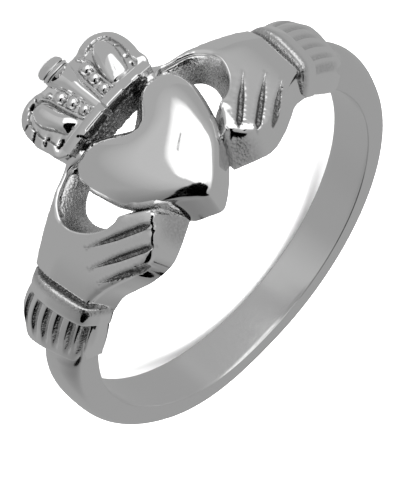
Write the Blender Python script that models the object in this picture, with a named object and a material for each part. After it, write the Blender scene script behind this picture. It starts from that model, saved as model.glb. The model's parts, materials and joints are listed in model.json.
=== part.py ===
"""A claddagh ring: two hands hold a crowned heart, cast in one piece with a D-shaped band.

The ring is drawn in its own frame first. X runs across the head from one hand to the other, Y runs along the
finger from the heart's tip to the crown, and Z runs outward through the heart. The head is a relief wrapped
round the finger hole: its plan is drawn flat, as arc length `s` along X and `c` along Y, both in millimetres,
and each piece is a wall that stands on the finger hole and ends in its own outer face at a radius `r`.
At the end the ring is laid on its side, as it rests by itself: on the tip of the crown and the back of the band.
"""
import math

import bmesh
import bpy
import numpy as np
from mathutils import Matrix, Vector
from mathutils.geometry import delaunay_2d_cdt

MM = 0.001
CORNER = "corner"

# Driving sizes, in millimetres. The finger hole is a US size 7.
HOLE_R = 8.65
PLAN_R = 9.95            # the radius at which the plan's arc lengths are measured
ROOT_R = 8.25            # pieces start here, inside the hole, and the bore cuts them flush

BAND_HALF = 1.13         # half of the band's width at the back
BAND_THICK = 1.36        # from the hole to the crest of the band, at the back
BAND_SIDE = 0.86         # height of the band's flat side before its outer face rounds over
BAND_STEPS = 81          # straight steps from one cuff round the back to the other; odd, so that one lies at the back
BAND_END = math.radians(124.0)

CUFF_FROM, CUFF_TO = 9.20, 10.95   # arc lengths where the ruffled cuff starts and ends
COLLAR_FROM, COLLAR_TO = 8.20, 9.22

HEART_EDGE = 0.80        # radius of the heart's rounded rim
HAND_EDGE = 0.26
CROWN_EDGE = 0.20
BEAD_R = 0.27
FINGER_GROOVE_WIDTH = 0.30
FINGER_GROOVE_DEPTH = 0.34

SILVER = (0.62, 0.62, 0.63, 1.0)


def clear_scene():
    for obj in list(bpy.data.objects):
        bpy.data.objects.remove(obj, do_unlink=True)


def smoothstep(low, high, x):
    t = min(max((x - low) / (high - low), 0.0), 1.0)
    return t * t * (3.0 - 2.0 * t)


def blend_table(rows, x):
    """Reads a table of (x, value) rows with a smooth step between neighbours."""
    if x <= rows[0][0]:
        return rows[0][1]
    for (x0, v0), (x1, v1) in zip(rows, rows[1:]):
        if x <= x1:
            return v0 + (v1 - v0) * smoothstep(x0, x1, x)
    return rows[-1][1]


def wrap(s, c, r):
    """A place of the plan at radius r, in metres."""
    angle = s / PLAN_R
    return Vector((r * math.sin(angle), c, r * math.cos(angle))) * MM


def closed_curve(rows, spacing):
    """A smooth loop through rows of (s, c, foot s, foot c), at even steps. A row marked CORNER stays sharp."""
    count = len(rows)
    path = []
    for i in range(count):
        p0, p1, p2, p3 = (np.array(rows[(i + k) % count][:4]) for k in (-1, 0, 1, 2))
        chord = p2 - p1
        length = np.hypot(*chord[:2])
        reach_out = length / max(np.hypot(*(p2 - p0)[:2]), 1e-9)
        reach_in = length / max(np.hypot(*(p3 - p1)[:2]), 1e-9)
        out = chord if CORNER in rows[i][4:] else (p2 - p0) * reach_out
        into = chord if CORNER in rows[(i + 1) % count][4:] else (p3 - p1) * reach_in
        steps = max(1, round(length / spacing))
        for k in range(steps):
            t = k / steps
            leaving = (2 * t**3 - 3 * t**2 + 1) * p1 + (t**3 - 2 * t**2 + t) * out
            arriving = (-2 * t**3 + 3 * t**2) * p2 + (t**3 - t**2) * into
            path.append(leaving + arriving)
    area = sum(a[0] * b[1] - a[1] * b[0] for a, b in zip(path, path[1:] + path[:1]))
    return path if area > 0 else path[::-1]


def distance_to_loop(point, loop):
    best = 1e9
    for a, b in zip(loop, loop[1:] + loop[:1]):
        ab = b - a
        t = min(max((point - a).dot(ab) / max(ab.length_squared, 1e-12), 0.0), 1.0)
        best = min(best, (point - a - ab * t).length)
    return best


def inside_loop(point, loop):
    odd = False
    for a, b in zip(loop, loop[1:] + loop[:1]):
        if (a.y > point.y) != (b.y > point.y):
            if point.x < (b.x - a.x) * (point.y - a.y) / (b.y - a.y) + a.x:
                odd = not odd
    return odd


# Spacing rules for filling an outline, as shares of an inset or of the spacing.
KEEP_INSET = 0.93
KEEP_APART = 0.45
FIELD_GAP = 0.55


def plan_mesh(loop, spacing, insets):
    """Points and triangles that fill a loop: the loop itself, rows set in from it, and an even field."""
    points = list(loop)
    for inset in insets:
        for i, here in enumerate(loop):
            before, after = loop[i - 1], loop[(i + 1) % len(loop)]
            along = after - before
            if along.length < 1e-9:
                continue
            spot = here + Vector((-along.y, along.x)).normalized() * inset
            if inside_loop(spot, loop) and distance_to_loop(spot, loop) > KEEP_INSET * inset:
                if all((spot - other).length > KEEP_APART * spacing for other in points[len(loop):]):
                    points.append(spot)
    deepest = max(insets) if insets else 0.0
    low_x, high_x = min(p.x for p in loop), max(p.x for p in loop)
    low_y, high_y = min(p.y for p in loop), max(p.y for p in loop)
    row = 0
    y = low_y + 0.5 * spacing
    while y < high_y:
        x = low_x + (0.25 + 0.5 * (row % 2)) * spacing
        while x < high_x:
            spot = Vector((x, y))
            if inside_loop(spot, loop) and distance_to_loop(spot, loop) > deepest + FIELD_GAP * spacing:
                points.append(spot)
            x += spacing
        y += spacing * math.sqrt(3) / 2
        row += 1
    edges = [(i, (i + 1) % len(loop)) for i in range(len(loop))]
    verts, _, faces, *_ = delaunay_2d_cdt(points, edges, [], 1, 1e-6)
    return [Vector(v) for v in verts], faces, len(loop)


def rounded_edge(distance, radius):
    """How far the outer face drops near an edge that is rounded to this radius."""
    if distance >= radius:
        return 0.0
    return radius - math.sqrt(max(radius**2 - (radius - distance) ** 2, 0.0))


def mesh_object(name, bm):
    if bm.calc_volume(signed=True) < 0.0:
        bmesh.ops.reverse_faces(bm, faces=bm.faces)
    mesh = bpy.data.meshes.new(name)
    bm.to_mesh(mesh)
    bm.free()
    obj = bpy.data.objects.new(name, mesh)
    bpy.context.scene.collection.objects.link(obj)
    return obj


def relief(name, rows, height, edge, spacing=0.55, insets=(0.5, 1.0), root=ROOT_R):
    """A wall that stands on the finger hole along an outline, with its outer face at height(s, c).

    Each row of the outline gives the wall's place at its top and at its foot, and edge is the radius that
    rounds the outer face's rim. The wall runs on below the finger hole, down to the radius root.
    """
    path = closed_curve(rows, spacing)
    loop = [Vector(row[:2]) for row in path]
    points, faces, rim = plan_mesh(loop, spacing, [edge * k for k in insets])
    bm = bmesh.new()
    top = []
    for p in points:
        drop = rounded_edge(distance_to_loop(p, loop), edge)
        top.append(bm.verts.new(wrap(p.x, p.y, height(p.x, p.y) - drop)))
    bottom = []
    for s, c, foot_s, foot_c in path:
        level = height(s, c) - edge
        more = (level - root) / max(level - HOLE_R, 0.2)
        bottom.append(bm.verts.new(wrap(s + (foot_s - s) * more, c + (foot_c - c) * more, root)))
    for face in faces:
        bm.faces.new([top[i] for i in face])
    for i in range(rim):
        j = (i + 1) % rim
        bm.faces.new([top[j], top[i], bottom[i], bottom[j]])
    ring = [(i, (i + 1) % rim) for i in range(rim)]
    _, _, under, *_ = delaunay_2d_cdt(points[:rim], ring, [], 1, 1e-6)
    for face in under:
        bm.faces.new([bottom[i] for i in reversed(face)])
    bmesh.ops.recalc_face_normals(bm, faces=bm.faces)
    return mesh_object(name, bm)


def loft(name, sections):
    """A solid through closed sections, each a list of places, capped at both ends."""
    bm = bmesh.new()
    rings = [[bm.verts.new(place) for place in section] for section in sections]
    for a, b in zip(rings, rings[1:]):
        for i in range(len(a)):
            j = (i + 1) % len(a)
            bm.faces.new([a[i], a[j], b[j], b[i]])
    bm.faces.new(rings[0][::-1])
    bm.faces.new(rings[-1])
    return mesh_object(name, bm)


# The band's tip-side half width by angle from the back, in degrees: it is a little wider below one hand.
BAND_TIP_HALF = (
    (-75, 1.13),
    (-40, 1.30),
    (-5, 1.13),
)
# Extra thickness by angle from the back: the band thickens where it runs into the cuffs.
BAND_MORE = (
    (88, 0.0),
    (110, 0.24),
    (115, 0.20),
    (119, -0.10),
)
# The band is a little thicker still on the right hand's side. Columns: degrees from the back, extra thickness.
BAND_MORE_RIGHT = (
    (-10, 0.0),
    (60, 0.05),
    (95, 0.12),
    (112, 0.08),
    (119, 0.0),
)


def band_section(angle):
    """One D-shaped section of the band at an angle from the back."""
    degrees = math.degrees(angle)
    tip_half = blend_table(BAND_TIP_HALF, degrees)
    crest = HOLE_R + BAND_THICK + blend_table(BAND_MORE, abs(degrees)) + blend_table(BAND_MORE_RIGHT, degrees)
    side = HOLE_R + BAND_SIDE
    profile = [(-tip_half, ROOT_R), (-tip_half, side)]
    arc_steps = 6
    for k in range(1, arc_steps):
        turn = math.pi * k / arc_steps
        half = tip_half if k < arc_steps / 2 else BAND_HALF
        profile.append((-half * math.cos(turn), side + (crest - side) * math.sin(turn) ** 0.9))
    profile += [(BAND_HALF, side), (BAND_HALF, ROOT_R)]
    return [Vector((r * math.sin(angle), c, -r * math.cos(angle))) * MM for c, r in profile]


def make_band():
    steps = BAND_STEPS + 1
    angles = [BAND_END * (2 * i / (steps - 1) - 1) for i in range(steps)]
    return loft("band", [band_section(angle) for angle in angles])


# The heart in plan, from the cleft round the right lobe, the point and the left lobe.
# Columns: s, c, foot s, foot c.
HEART = (
    (0.00, 1.42, 0.02, 2.12, CORNER),
    (0.58, 1.97, 0.62, 2.48),
    (1.22, 2.55, 1.20, 2.86),
    (1.64, 2.77, 1.64, 2.92),
    (2.16, 2.80, 2.16, 2.84),
    (2.64, 2.64, 2.60, 2.60),
    (3.00, 2.36, 2.92, 2.30),
    (3.26, 1.88, 3.15, 1.80),
    (3.31, 1.33, 3.18, 1.25),
    (3.12, 0.59, 3.00, 0.50),
    (2.86, -0.14, 2.72, -0.40),
    (2.50, -0.92, 2.45, -1.20),
    (2.02, -1.62, 2.10, -1.90),
    (1.42, -2.22, 1.42, -2.46),
    (0.75, -2.76, 0.72, -3.02),
    (0.15, -3.12, 0.08, -3.42),
    (-0.32, -3.24, -0.36, -3.54),
    (-0.84, -2.76, -0.98, -3.22),
    (-1.24, -2.32, -1.58, -2.82),
    (-1.86, -1.74, -2.12, -1.88),
    (-2.52, -1.06, -2.56, -1.14),
    (-2.98, -0.42, -2.86, -0.42),
    (-3.16, 0.12, -3.02, 0.10),
    (-3.28, 0.85, -3.12, 0.80),
    (-3.36, 1.47, -3.18, 1.40),
    (-3.28, 2.06, -3.14, 2.00),
    (-3.04, 2.49, -2.95, 2.42),
    (-2.69, 2.75, -2.62, 2.70),
    (-2.23, 2.84, -2.20, 2.88),
    (-1.71, 2.77, -1.70, 2.92),
    (-1.31, 2.60, -1.28, 2.96),
    (-0.88, 2.26, -0.88, 2.80),
    (-0.45, 1.84, -0.44, 2.46),
)


def mirrored(half):
    """A whole outline from its right half, which starts and ends on the middle line."""
    left = [(-row[0], row[1], -row[2], *row[3:]) for row in half[1:-1]]
    return list(half) + left[::-1]


def heart_height(s, c):
    across = min(abs(s) / 3.4, 1.0)
    along = min(max((c - 0.1) / 3.2, -1.0), 1.0)
    return HOLE_R + 2.05 - 0.35 * across**2 - 0.35 * along**2


def make_heart():
    return relief("heart", HEART, heart_height, HEART_EDGE, insets=(0.18, 0.5, 1.0))


# One hand in plan. Columns: s, c, foot s, foot c. The thumb runs along the top, the fingers along the bottom,
# and the last rows go round the gap between the thumb and the fingers.
HAND = (
    (2.10, 2.90, 2.10, 2.90),
    (2.56, 3.48, 2.56, 3.52),
    (3.10, 3.45, 3.10, 3.52),
    (3.70, 3.20, 3.70, 3.26),
    (4.40, 2.95, 4.40, 2.95),
    (5.20, 2.74, 5.20, 2.70),
    (6.10, 2.55, 6.10, 2.45),
    (7.00, 2.36, 7.00, 2.20),
    (8.60, 2.18, 8.60, 2.00, CORNER),
    (8.60, -0.92, 8.60, -1.42, CORNER),
    (7.50, -1.02, 7.60, -1.60),
    (6.60, -1.38, 6.80, -1.80),
    (5.80, -1.86, 6.00, -2.27),
    (5.00, -2.36, 5.10, -2.78),
    (3.95, -2.70, 3.95, -3.14),
    (2.90, -2.42, 2.90, -3.03),
    (2.20, -1.98, 1.57, -2.63, CORNER),
    (1.70, -1.20, 1.57, -1.30, CORNER),
    (2.60, -0.65, 2.60, -0.65),
    (3.20, -0.52, 3.10, -0.24),
    (3.65, -0.55, 3.50, -0.20),
    (4.15, -0.28, 3.95, -0.05),
    (4.68, 0.28, 4.48, 0.36),
    (5.03, 1.05, 4.77, 1.04),
    (4.96, 1.85, 4.62, 1.64),
    (4.50, 2.32, 4.10, 1.98),
    (3.85, 2.55, 3.50, 2.15),
    (3.10, 2.62, 2.90, 2.30),
    (2.30, 2.35, 2.30, 2.20),
)


def hand_height(s, c):
    """The back of the hand stands high at the wrist and falls to the thumb's tip and the fingers' ends."""
    back = HOLE_R + 1.66 - 0.17 * max(1.3 - c, 0.0) - 0.17 * max(c - 1.2, 0.0) ** 2
    wrist = smoothstep(3.0, 5.6, s)
    knuckles = smoothstep(1.0, -1.5, c)
    thumb = HOLE_R + 0.50 + 1.10 * wrist
    return min(back, thumb + (back - thumb) * max(wrist, knuckles))


HAND_CLOSER = 0.28
# Grooves between the fingers. Columns: start s and c, end s and c.
FINGER_GROOVES = (
    (5.25, 0.02, 2.45, -2.28),
    (5.95, -0.50, 3.15, -2.80),
    (6.25, -1.15, 3.95, -3.05),
)


GROOVE_TAPER = 0.45          # share of a groove's length over which it widens from its start
GROOVE_START = 0.08          # size at its start, as a share of the full size
GROOVE_ABOVE = 0.60          # how far the cutter stands above the hand, as a share of the groove's depth


def spindle(name, start, end, side):
    """A cutter with a V-shaped underside that tapers to its start, laid along the outer face of a hand."""
    sections = []
    steps = 8
    along = Vector((end[0] - start[0], end[1] - start[1]))
    across = Vector((-along.y, along.x)).normalized()
    flare = 1.0 + GROOVE_ABOVE
    for k in range(steps + 1):
        t = k / steps
        full = GROOVE_START + (1.0 - GROOVE_START) * min(t / GROOVE_TAPER, 1.0)
        here = Vector(start) + along * t
        r = hand_height(here.x, here.y)
        top = r + GROOVE_ABOVE * FINGER_GROOVE_DEPTH
        one = here + across * (0.5 * FINGER_GROOVE_WIDTH * full * flare)
        two = here - across * (0.5 * FINGER_GROOVE_WIDTH * full * flare)
        low = wrap(hand_place(side, here.x), here.y, r - FINGER_GROOVE_DEPTH * full)
        sections.append([low, wrap(hand_place(side, one.x), one.y, top), wrap(hand_place(side, two.x), two.y, top)])
    return loft(name, sections)


def hand_place(side, s):
    """The arc length of a place on one hand: the right hand lies closer round the heart between palm and wrist."""
    closer = HAND_CLOSER * smoothstep(2.2, 3.6, s) * (1.0 - smoothstep(4.8, 6.8, s)) if side > 0 else 0.0
    return side * (s - closer)


def make_hand(side):
    outline = [(hand_place(side, row[0]), row[1], hand_place(side, row[2]), *row[3:]) for row in HAND]
    label = "right" if side > 0 else "left"
    hand = relief(
        "hand_" + label, outline, lambda s, c: hand_height(abs(s), c), HAND_EDGE, spacing=0.46, root=ROOT_R - 0.05
    )
    grooves = []
    for number, (s0, c0, s1, c1) in enumerate(FINGER_GROOVES, 1):
        name = f"groove_{label}_{number}"
        grooves.append(spindle(name, (s0, c0), (s1, c1), side))
    return hand, grooves


# The collar's outer face along the finger, from the tip side to the crown side. Columns: c, height.
COLLAR_PROFILE = (
    (-1.56, -0.40),
    (-1.42, 0.00),
    (-1.30, 0.60),
    (-0.98, 1.12),
    (-0.50, 1.34),
    (0.20, 1.50),
    (0.90, 1.58),
    (1.55, 1.50),
    (2.02, 1.20),
    (2.20, 0.80),
    (2.15, -0.40),
)
# The cuff's, in the same columns.
CUFF_PROFILE = (
    (-1.56, -0.40),
    (-1.42, 0.00),
    (-1.30, 0.60),
    (-0.98, 1.12),
    (-0.50, 1.34),
    (0.20, 1.50),
    (0.90, 1.64),
    (1.60, 1.66),
    (2.14, 1.38),
    (2.30, 0.90),
    (2.20, -0.40),
)
RUFFLE_FOLDS = (-1.15, -0.68, 0.17, 0.78, 1.45, 2.02)
FOLD_HALF = 0.16


def sleeve_section(profile, s, side, lift, narrow, fold_depth):
    """A section of the collar or the cuff at arc length s, with folds of the given depth."""
    rows = [profile[0]]
    for (c0, h0), (c1, h1) in zip(profile, profile[1:]):
        steps = 3 if fold_depth and min(h0, h1) > 0.8 else 1
        rows += [(c0 + (c1 - c0) * k / steps, h0 + (h1 - h0) * k / steps) for k in range(1, steps + 1)]
    places = []
    for c, height in rows:
        away = min(abs(c - fold) for fold in RUFFLE_FOLDS)
        dent = fold_depth * max(1.0 - away / FOLD_HALF, 0.0) if height > 0.5 else 0.0
        raised = lift * smoothstep(0.4, 1.1, height)
        places.append(wrap(side * s, c * narrow, HOLE_R + height + raised - dent))
    return places


# The collar's sections along the arm. Columns: s, lift of the outer face, width factor.
COLLAR_ROWS = (
    (COLLAR_FROM, -0.05, 0.98),
    (COLLAR_FROM + 0.12, 0.14, 1.02),
    (0.5 * (COLLAR_FROM + COLLAR_TO), 0.22, 1.05),
    (COLLAR_TO - 0.12, 0.14, 1.02),
    (COLLAR_TO, -0.05, 0.98),
)
# The cuff's sections. Columns: s, lift of the outer face, width factor, depth of the folds.
CUFF_ROWS = (
    (CUFF_FROM - 0.6, -0.04, 0.96, 0.02),
    (CUFF_FROM, 0.02, 0.98, 0.14),
    (CUFF_FROM + 0.7, 0.14, 1.01, 0.22),
    (CUFF_TO - 0.40, 0.18, 0.95, 0.16),
    (CUFF_TO, 0.14, 0.86, 0.06),
    (CUFF_TO + 0.12, -0.35, 0.78, 0.02),
)


def make_sleeve(side):
    label = "right" if side > 0 else "left"
    collar = [sleeve_section(COLLAR_PROFILE, s, side, lift, narrow, 0.0) for s, lift, narrow in COLLAR_ROWS]
    cuff = [sleeve_section(CUFF_PROFILE, s, side, lift, narrow, fold) for s, lift, narrow, fold in CUFF_ROWS]
    return [loft("collar_" + label, collar), loft("cuff_" + label, cuff)]


# The crown's right half in plan, from the middle of its foot round to the middle of its top.
# Columns: s, c, foot s, foot c.
CROWN_HALF = (
    (0.00, 3.30, 0.00, 3.10),
    (2.55, 3.30, 2.60, 3.10, CORNER),
    (2.95, 3.72, 3.05, 3.66),
    (3.02, 4.32, 3.12, 4.30),
    (3.18, 4.92, 3.28, 4.92),
    (3.24, 5.50, 3.36, 5.52),
    (3.14, 6.10, 3.26, 6.14),
    (2.75, 6.56, 2.84, 6.64),
    (2.20, 6.76, 2.24, 6.88),
    (1.62, 6.72, 1.62, 6.84),
    (1.00, 6.56, 1.00, 6.66),
    (0.00, 6.60, 0.00, 6.70),
)


CROWN_SPREAD = 0.18          # how much wider the crown's left side is near its foot


def crown_outline():
    rows = []
    for s, c, foot_s, foot_c, *mark in mirrored(CROWN_HALF):
        spread = CROWN_SPREAD * (1.0 - smoothstep(4.6, 5.8, c)) * smoothstep(0.0, 2.5, -s)
        rows.append((s - spread, c, foot_s - spread, foot_c, *mark))
    return rows


def crown_face(s, c):
    """The ground that the crown's ornament stands on."""
    return HOLE_R + 1.10 - 0.15 * (c - 3.4)


def ellipsoid(name, centre, radii, height, side=1, turn=0.0, rings=6, sectors=12):
    """A rounded boss on the crown: centre in plan, radii along s, c and outward, turned in plan."""
    bm = bmesh.new()
    bmesh.ops.create_uvsphere(bm, u_segments=sectors, v_segments=rings, radius=1.0)
    for vert in bm.verts:
        x, y, z = vert.co
        s = radii[0] * x * math.cos(turn) - radii[1] * y * math.sin(turn)
        c = radii[0] * x * math.sin(turn) + radii[1] * y * math.cos(turn)
        vert.co = wrap(side * (centre[0] + s), centre[1] + c, height + radii[2] * z)
    return mesh_object(name, bm)


# The oval panel on each lobe: its centre in plan, radii along s, along c and outward, and turn in plan.
PANEL_CENTRE = (1.90, 5.14)
PANEL_RADII = (0.58, 1.10, 0.52)
PANEL_TURN = -0.10
# Beads along the inner ribs. Columns: s, c, size.
INNER_BEADS = (
    (1.10, 6.04, 0.6),
    (0.90, 5.60, 1.0),
    (0.75, 4.93, 1.0),
    (0.60, 4.23, 0.95),
)
# Blocks along the outer rim. Columns: s, c.
RIM_BLOCKS = (
    (2.54, 4.20),
    (2.68, 4.80),
    (2.76, 5.42),
    (2.60, 5.98),
)
BLOCK_RADII = (0.30, 0.27, 0.32)


# The middle ridge of the crown, from its foot to the finial. Columns: c, half width, height over the ground.
RIDGE_ROWS = (
    (3.50, 0.16, 0.20),
    (4.30, 0.24, 0.32),
    (5.20, 0.42, 0.40),
    (6.00, 0.62, 0.44),
    (6.62, 0.76, 0.44),
)
# The finial, a flattened barrel at the ridge's end. Columns: distance along its axis, half width, half height.
FINIAL_ROWS = (
    (0.00, 0.60, 0.42),
    (0.22, 0.72, 0.50),
    (0.44, 0.75, 0.53),
    (0.51, 0.66, 0.46),
    (0.58, 0.74, 0.53),
    (0.77, 0.70, 0.50),
    (1.00, 0.52, 0.38),
    (1.16, 0.26, 0.20),
)
FINIAL_FOOT = (6.30, 0.90)   # c and height over the hole where the finial's axis starts
FINIAL_SLOPE = math.radians(24.0)


def make_ridge():
    sections = []
    for c, half, tall in RIDGE_ROWS:
        ground = crown_face(0.0, c)
        arch = []
        for k in range(7):
            turn = math.pi * k / 6
            arch.append(wrap(-half * math.cos(turn), c, ground - 0.2 + (tall + 0.2) * math.sin(turn)))
        arch.append(wrap(half, c, ground - 0.5))
        arch.append(wrap(-half, c, ground - 0.5))
        sections.append(arch)
    return loft("ridge", sections)


def make_finial():
    sectors = 14
    sections = []
    for along, half_width, half_height in FINIAL_ROWS:
        c = FINIAL_FOOT[0] + along * math.cos(FINIAL_SLOPE)
        height = HOLE_R + FINIAL_FOOT[1] - along * math.sin(FINIAL_SLOPE)
        ring = []
        for k in range(sectors):
            turn = 2 * math.pi * k / sectors
            across = half_width * math.cos(turn)
            up = half_height * math.sin(turn)
            y = c + up * math.sin(FINIAL_SLOPE)
            z = height + up * math.cos(FINIAL_SLOPE)
            ring.append(Vector((across, y, z)) * MM)
        sections.append(ring)
    return loft("finial", sections)


# The crown's foot, a bar across the head: its section along the finger. Columns: c, height over the hole.
CROWN_BAR = (
    (2.76, -0.30),
    (2.84, 0.00),
    (3.16, 1.18),
    (3.26, 1.30),
    (3.60, 1.30),
    (3.70, 1.20),
    (3.72, -0.30),
)
CROWN_BAR_HALF = 2.62        # half of the bar's arc length
CROWN_BAR_STEPS = 8


def make_crown_bar():
    sections = []
    for k in range(CROWN_BAR_STEPS + 1):
        s = CROWN_BAR_HALF * (2.0 * k / CROWN_BAR_STEPS - 1.0)
        sections.append([wrap(s, c, HOLE_R + height) for c, height in CROWN_BAR])
    return loft("crown_bar", sections)


def make_crown():
    plate = relief("crown_plate", crown_outline(), crown_face, CROWN_EDGE, root=ROOT_R - 0.1)
    pieces = [plate, make_crown_bar(), make_ridge(), make_finial()]
    beads = []
    for side in (1, -1):
        label = "right" if side > 0 else "left"
        level = crown_face(*PANEL_CENTRE)
        pieces.append(ellipsoid("panel_" + label, PANEL_CENTRE, PANEL_RADII, level, side, PANEL_TURN))
        for number, (s, c, size) in enumerate(INNER_BEADS, 1):
            radii = (BEAD_R * size, BEAD_R * size, BEAD_R * size)
            level = crown_face(s, c) + 0.10
            beads.append(ellipsoid(f"bead_{label}_{number}", (s, c), radii, level, side, 0.0, 6, 8))
        for number, (s, c) in enumerate(RIM_BLOCKS, 1):
            level = crown_face(s, c) + 0.02
            beads.append(ellipsoid(f"rim_{label}_{number}", (s, c), BLOCK_RADII, level, side, 0.0, 6, 8))
    return pieces, beads


def joined(name, objects):
    """Several closed helpers as one object, so that one Boolean takes them all."""
    bm = bmesh.new()
    for obj in objects:
        bm.from_mesh(obj.data)
        bpy.data.objects.remove(obj, do_unlink=True)
    return mesh_object(name, bm)


def hide_helper(obj):
    obj.hide_render = True
    obj.display_type = "WIRE"


def add_boolean(target, helper, operation, overlapping=False):
    modifier = target.modifiers.new(helper.name, "BOOLEAN")
    modifier.operation = operation
    modifier.object = helper
    modifier.solver = "EXACT"
    modifier.use_self = overlapping
    hide_helper(helper)


def make_bore():
    """The finger hole's cutter."""
    bm = bmesh.new()
    bmesh.ops.create_cone(
        bm,
        cap_ends=True,
        segments=128,
        radius1=HOLE_R * MM,
        radius2=HOLE_R * MM,
        depth=30 * MM,
        matrix=Matrix.Rotation(math.radians(90), 4, "X") @ Matrix.Rotation(math.pi / 128, 4, "Z"),
    )
    return mesh_object("bore", bm)


def silver():
    material = bpy.data.materials.new("polished_silver")
    material.use_nodes = True
    shader = material.node_tree.nodes["Principled BSDF"]
    shader.inputs["Base Color"].default_value = SILVER
    shader.inputs["Metallic"].default_value = 1.0
    shader.inputs["Roughness"].default_value = 0.12
    return material


def rest_pose(obj):
    """Lays the ring down on the tip of its crown and the back of its band, with the head towards -Y."""
    bpy.context.view_layer.update()
    shape = obj.evaluated_get(bpy.context.evaluated_depsgraph_get()).to_mesh()
    points = np.array([vert.co for vert in shape.vertices])
    head = points[points[:, 2] > 0]
    back = points[points[:, 2] < 0]
    low, high = 0.0, math.radians(45)
    for _ in range(60):
        tilt = 0.5 * (low + high)
        head_low = (head[:, 2] * math.sin(tilt) - head[:, 1] * math.cos(tilt)).min()
        back_low = (back[:, 2] * math.sin(tilt) - back[:, 1] * math.cos(tilt)).min()
        low, high = (tilt, high) if head_low < back_low else (low, tilt)
    lay = Matrix.Rotation(math.pi, 4, "Z") @ Matrix.Rotation(tilt - math.pi / 2, 4, "X")
    placed = points @ np.array(lay.to_3x3()).T
    middle = 0.5 * (placed.min(axis=0) + placed.max(axis=0))
    obj.matrix_world = Matrix.Translation((-middle[0], -middle[1], -placed[:, 2].min())) @ lay
    print("laid down at", round(math.degrees(tilt), 2), "degrees from its own side")


def main():
    clear_scene()
    ring = make_band()
    ring.name = "claddagh_ring"
    cutters = []
    helpers = []
    for side in (1, -1):
        helpers += make_sleeve(side)
        hand, grooves = make_hand(side)
        helpers.append(hand)
        cutters += grooves
    helpers.append(make_heart())
    crown, beads = make_crown()
    helpers += crown
    for helper in helpers:
        add_boolean(ring, helper, "UNION")
    add_boolean(ring, joined("beads", beads), "UNION", overlapping=True)
    add_boolean(ring, joined("finger_grooves", cutters), "DIFFERENCE")
    add_boolean(ring, make_bore(), "DIFFERENCE")
    ring.data.materials.append(silver())
    ring.data.shade_smooth()
    ring.data.set_sharp_from_angle(angle=math.radians(40))
    rest_pose(ring)
    for helper in [obj for obj in bpy.data.objects if obj.hide_render]:
        helper.matrix_world = ring.matrix_world


main()
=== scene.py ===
# %% [markdown]
# # A claddagh ring, piece by piece
# This file dresses the plain solid of a cast silver ring: two hands hold a heart, and the heart wears a crown.
# It is a lesson in cells. The words before each cell say what the piece is on the real ring, how it could be
# made, and why it is made this way here. All lengths in the tables are millimetres, and Blender works in metres.

# %% Load the plain solid
import json
import math

import bpy
import numpy as np
from mathutils import Matrix, Vector, noise
from mathutils.geometry import delaunay_2d_cdt


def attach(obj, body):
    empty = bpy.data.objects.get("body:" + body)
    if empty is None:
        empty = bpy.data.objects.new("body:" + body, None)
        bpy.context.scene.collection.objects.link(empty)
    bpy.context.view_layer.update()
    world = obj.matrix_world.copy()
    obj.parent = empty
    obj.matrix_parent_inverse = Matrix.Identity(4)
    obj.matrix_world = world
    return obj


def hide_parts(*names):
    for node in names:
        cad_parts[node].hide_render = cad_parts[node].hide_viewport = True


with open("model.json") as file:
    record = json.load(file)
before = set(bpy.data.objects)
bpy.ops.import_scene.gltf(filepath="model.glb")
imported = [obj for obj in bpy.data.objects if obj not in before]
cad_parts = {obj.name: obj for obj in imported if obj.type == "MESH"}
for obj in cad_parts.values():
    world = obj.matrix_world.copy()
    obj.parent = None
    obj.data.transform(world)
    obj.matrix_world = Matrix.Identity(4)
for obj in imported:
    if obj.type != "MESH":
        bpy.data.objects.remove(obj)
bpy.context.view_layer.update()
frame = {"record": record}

MM = 0.001
NODE = "claddagh_ring"

# %% [markdown]
# ## Where the ring lies
# The ring is easiest to draw upright, in a frame of its own: X runs from one hand to the other, Y along the finger
# from the heart's point to the crown, and Z outward through the heart. The real ring lies on its side, on the
# crown's tip and the back of the band, so every piece is drawn upright and then laid down by one matrix. The
# solid's record names the band's flat side, and the tilt and the place of the finger hole are worked out from it.

# %% The matrix that lays the ring down
HOLE_R = 8.65                       # the finger hole, a US size 7
BAND_HALF = 1.13                    # half of the band's width at the back
SIDE_POINT_R = 9.08                 # where on the band's flat side the record puts its point

flank = next(mount for mount in frame["record"]["mounts"] if mount["name"] == "band_side")
tilt = math.asin(-flank["axis"][1])
turn = Matrix.Rotation(math.pi, 4, "Z") @ Matrix.Rotation(tilt - math.pi / 2, 4, "X")
hole_centre = Vector(flank["pos_m"]) - turn.to_3x3() @ Vector((0.0, BAND_HALF, -SIDE_POINT_R)) * MM
LAID_DOWN = Matrix.Translation(hole_centre) @ turn
print("tilt", round(math.degrees(tilt), 2), "degrees; hole centre", [round(v / MM, 2) for v in hole_centre], "mm")

# %% [markdown]
# ## Drawing on a cylinder
# The head of the ring is a relief wrapped round the finger. Drawing it flat is far easier, so each piece has a
# plan: `s` is the distance round the finger and `c` the distance along it. `wrap` rolls the plan up to any radius.
# The outlines are short tables of points, and a smooth curve runs through them. A row marked CORNER stays sharp.

# %% Plan, outline and wrap
PLAN_R = 9.95                       # the radius at which distances round the finger are measured
CORNER = "corner"
TINY = 1e-9                         # keeps a division by nothing away


def wrap(s, c, r):
    """Plan places at radius r, as an array of points in metres."""
    angle = np.asarray(s, float) / PLAN_R
    r = np.asarray(r, float)
    return np.stack(np.broadcast_arrays(r * np.sin(angle), c, r * np.cos(angle)), axis=-1) * MM


def curve(t, start, leave, end, reach):
    """A smooth curve from start to end, with its directions there, read at the share t of the way."""
    return (
        (2 * t**3 - 3 * t**2 + 1) * start + (t**3 - 2 * t**2 + t) * leave
        + (-2 * t**3 + 3 * t**2) * end + (t**3 - t**2) * reach
    )


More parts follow.
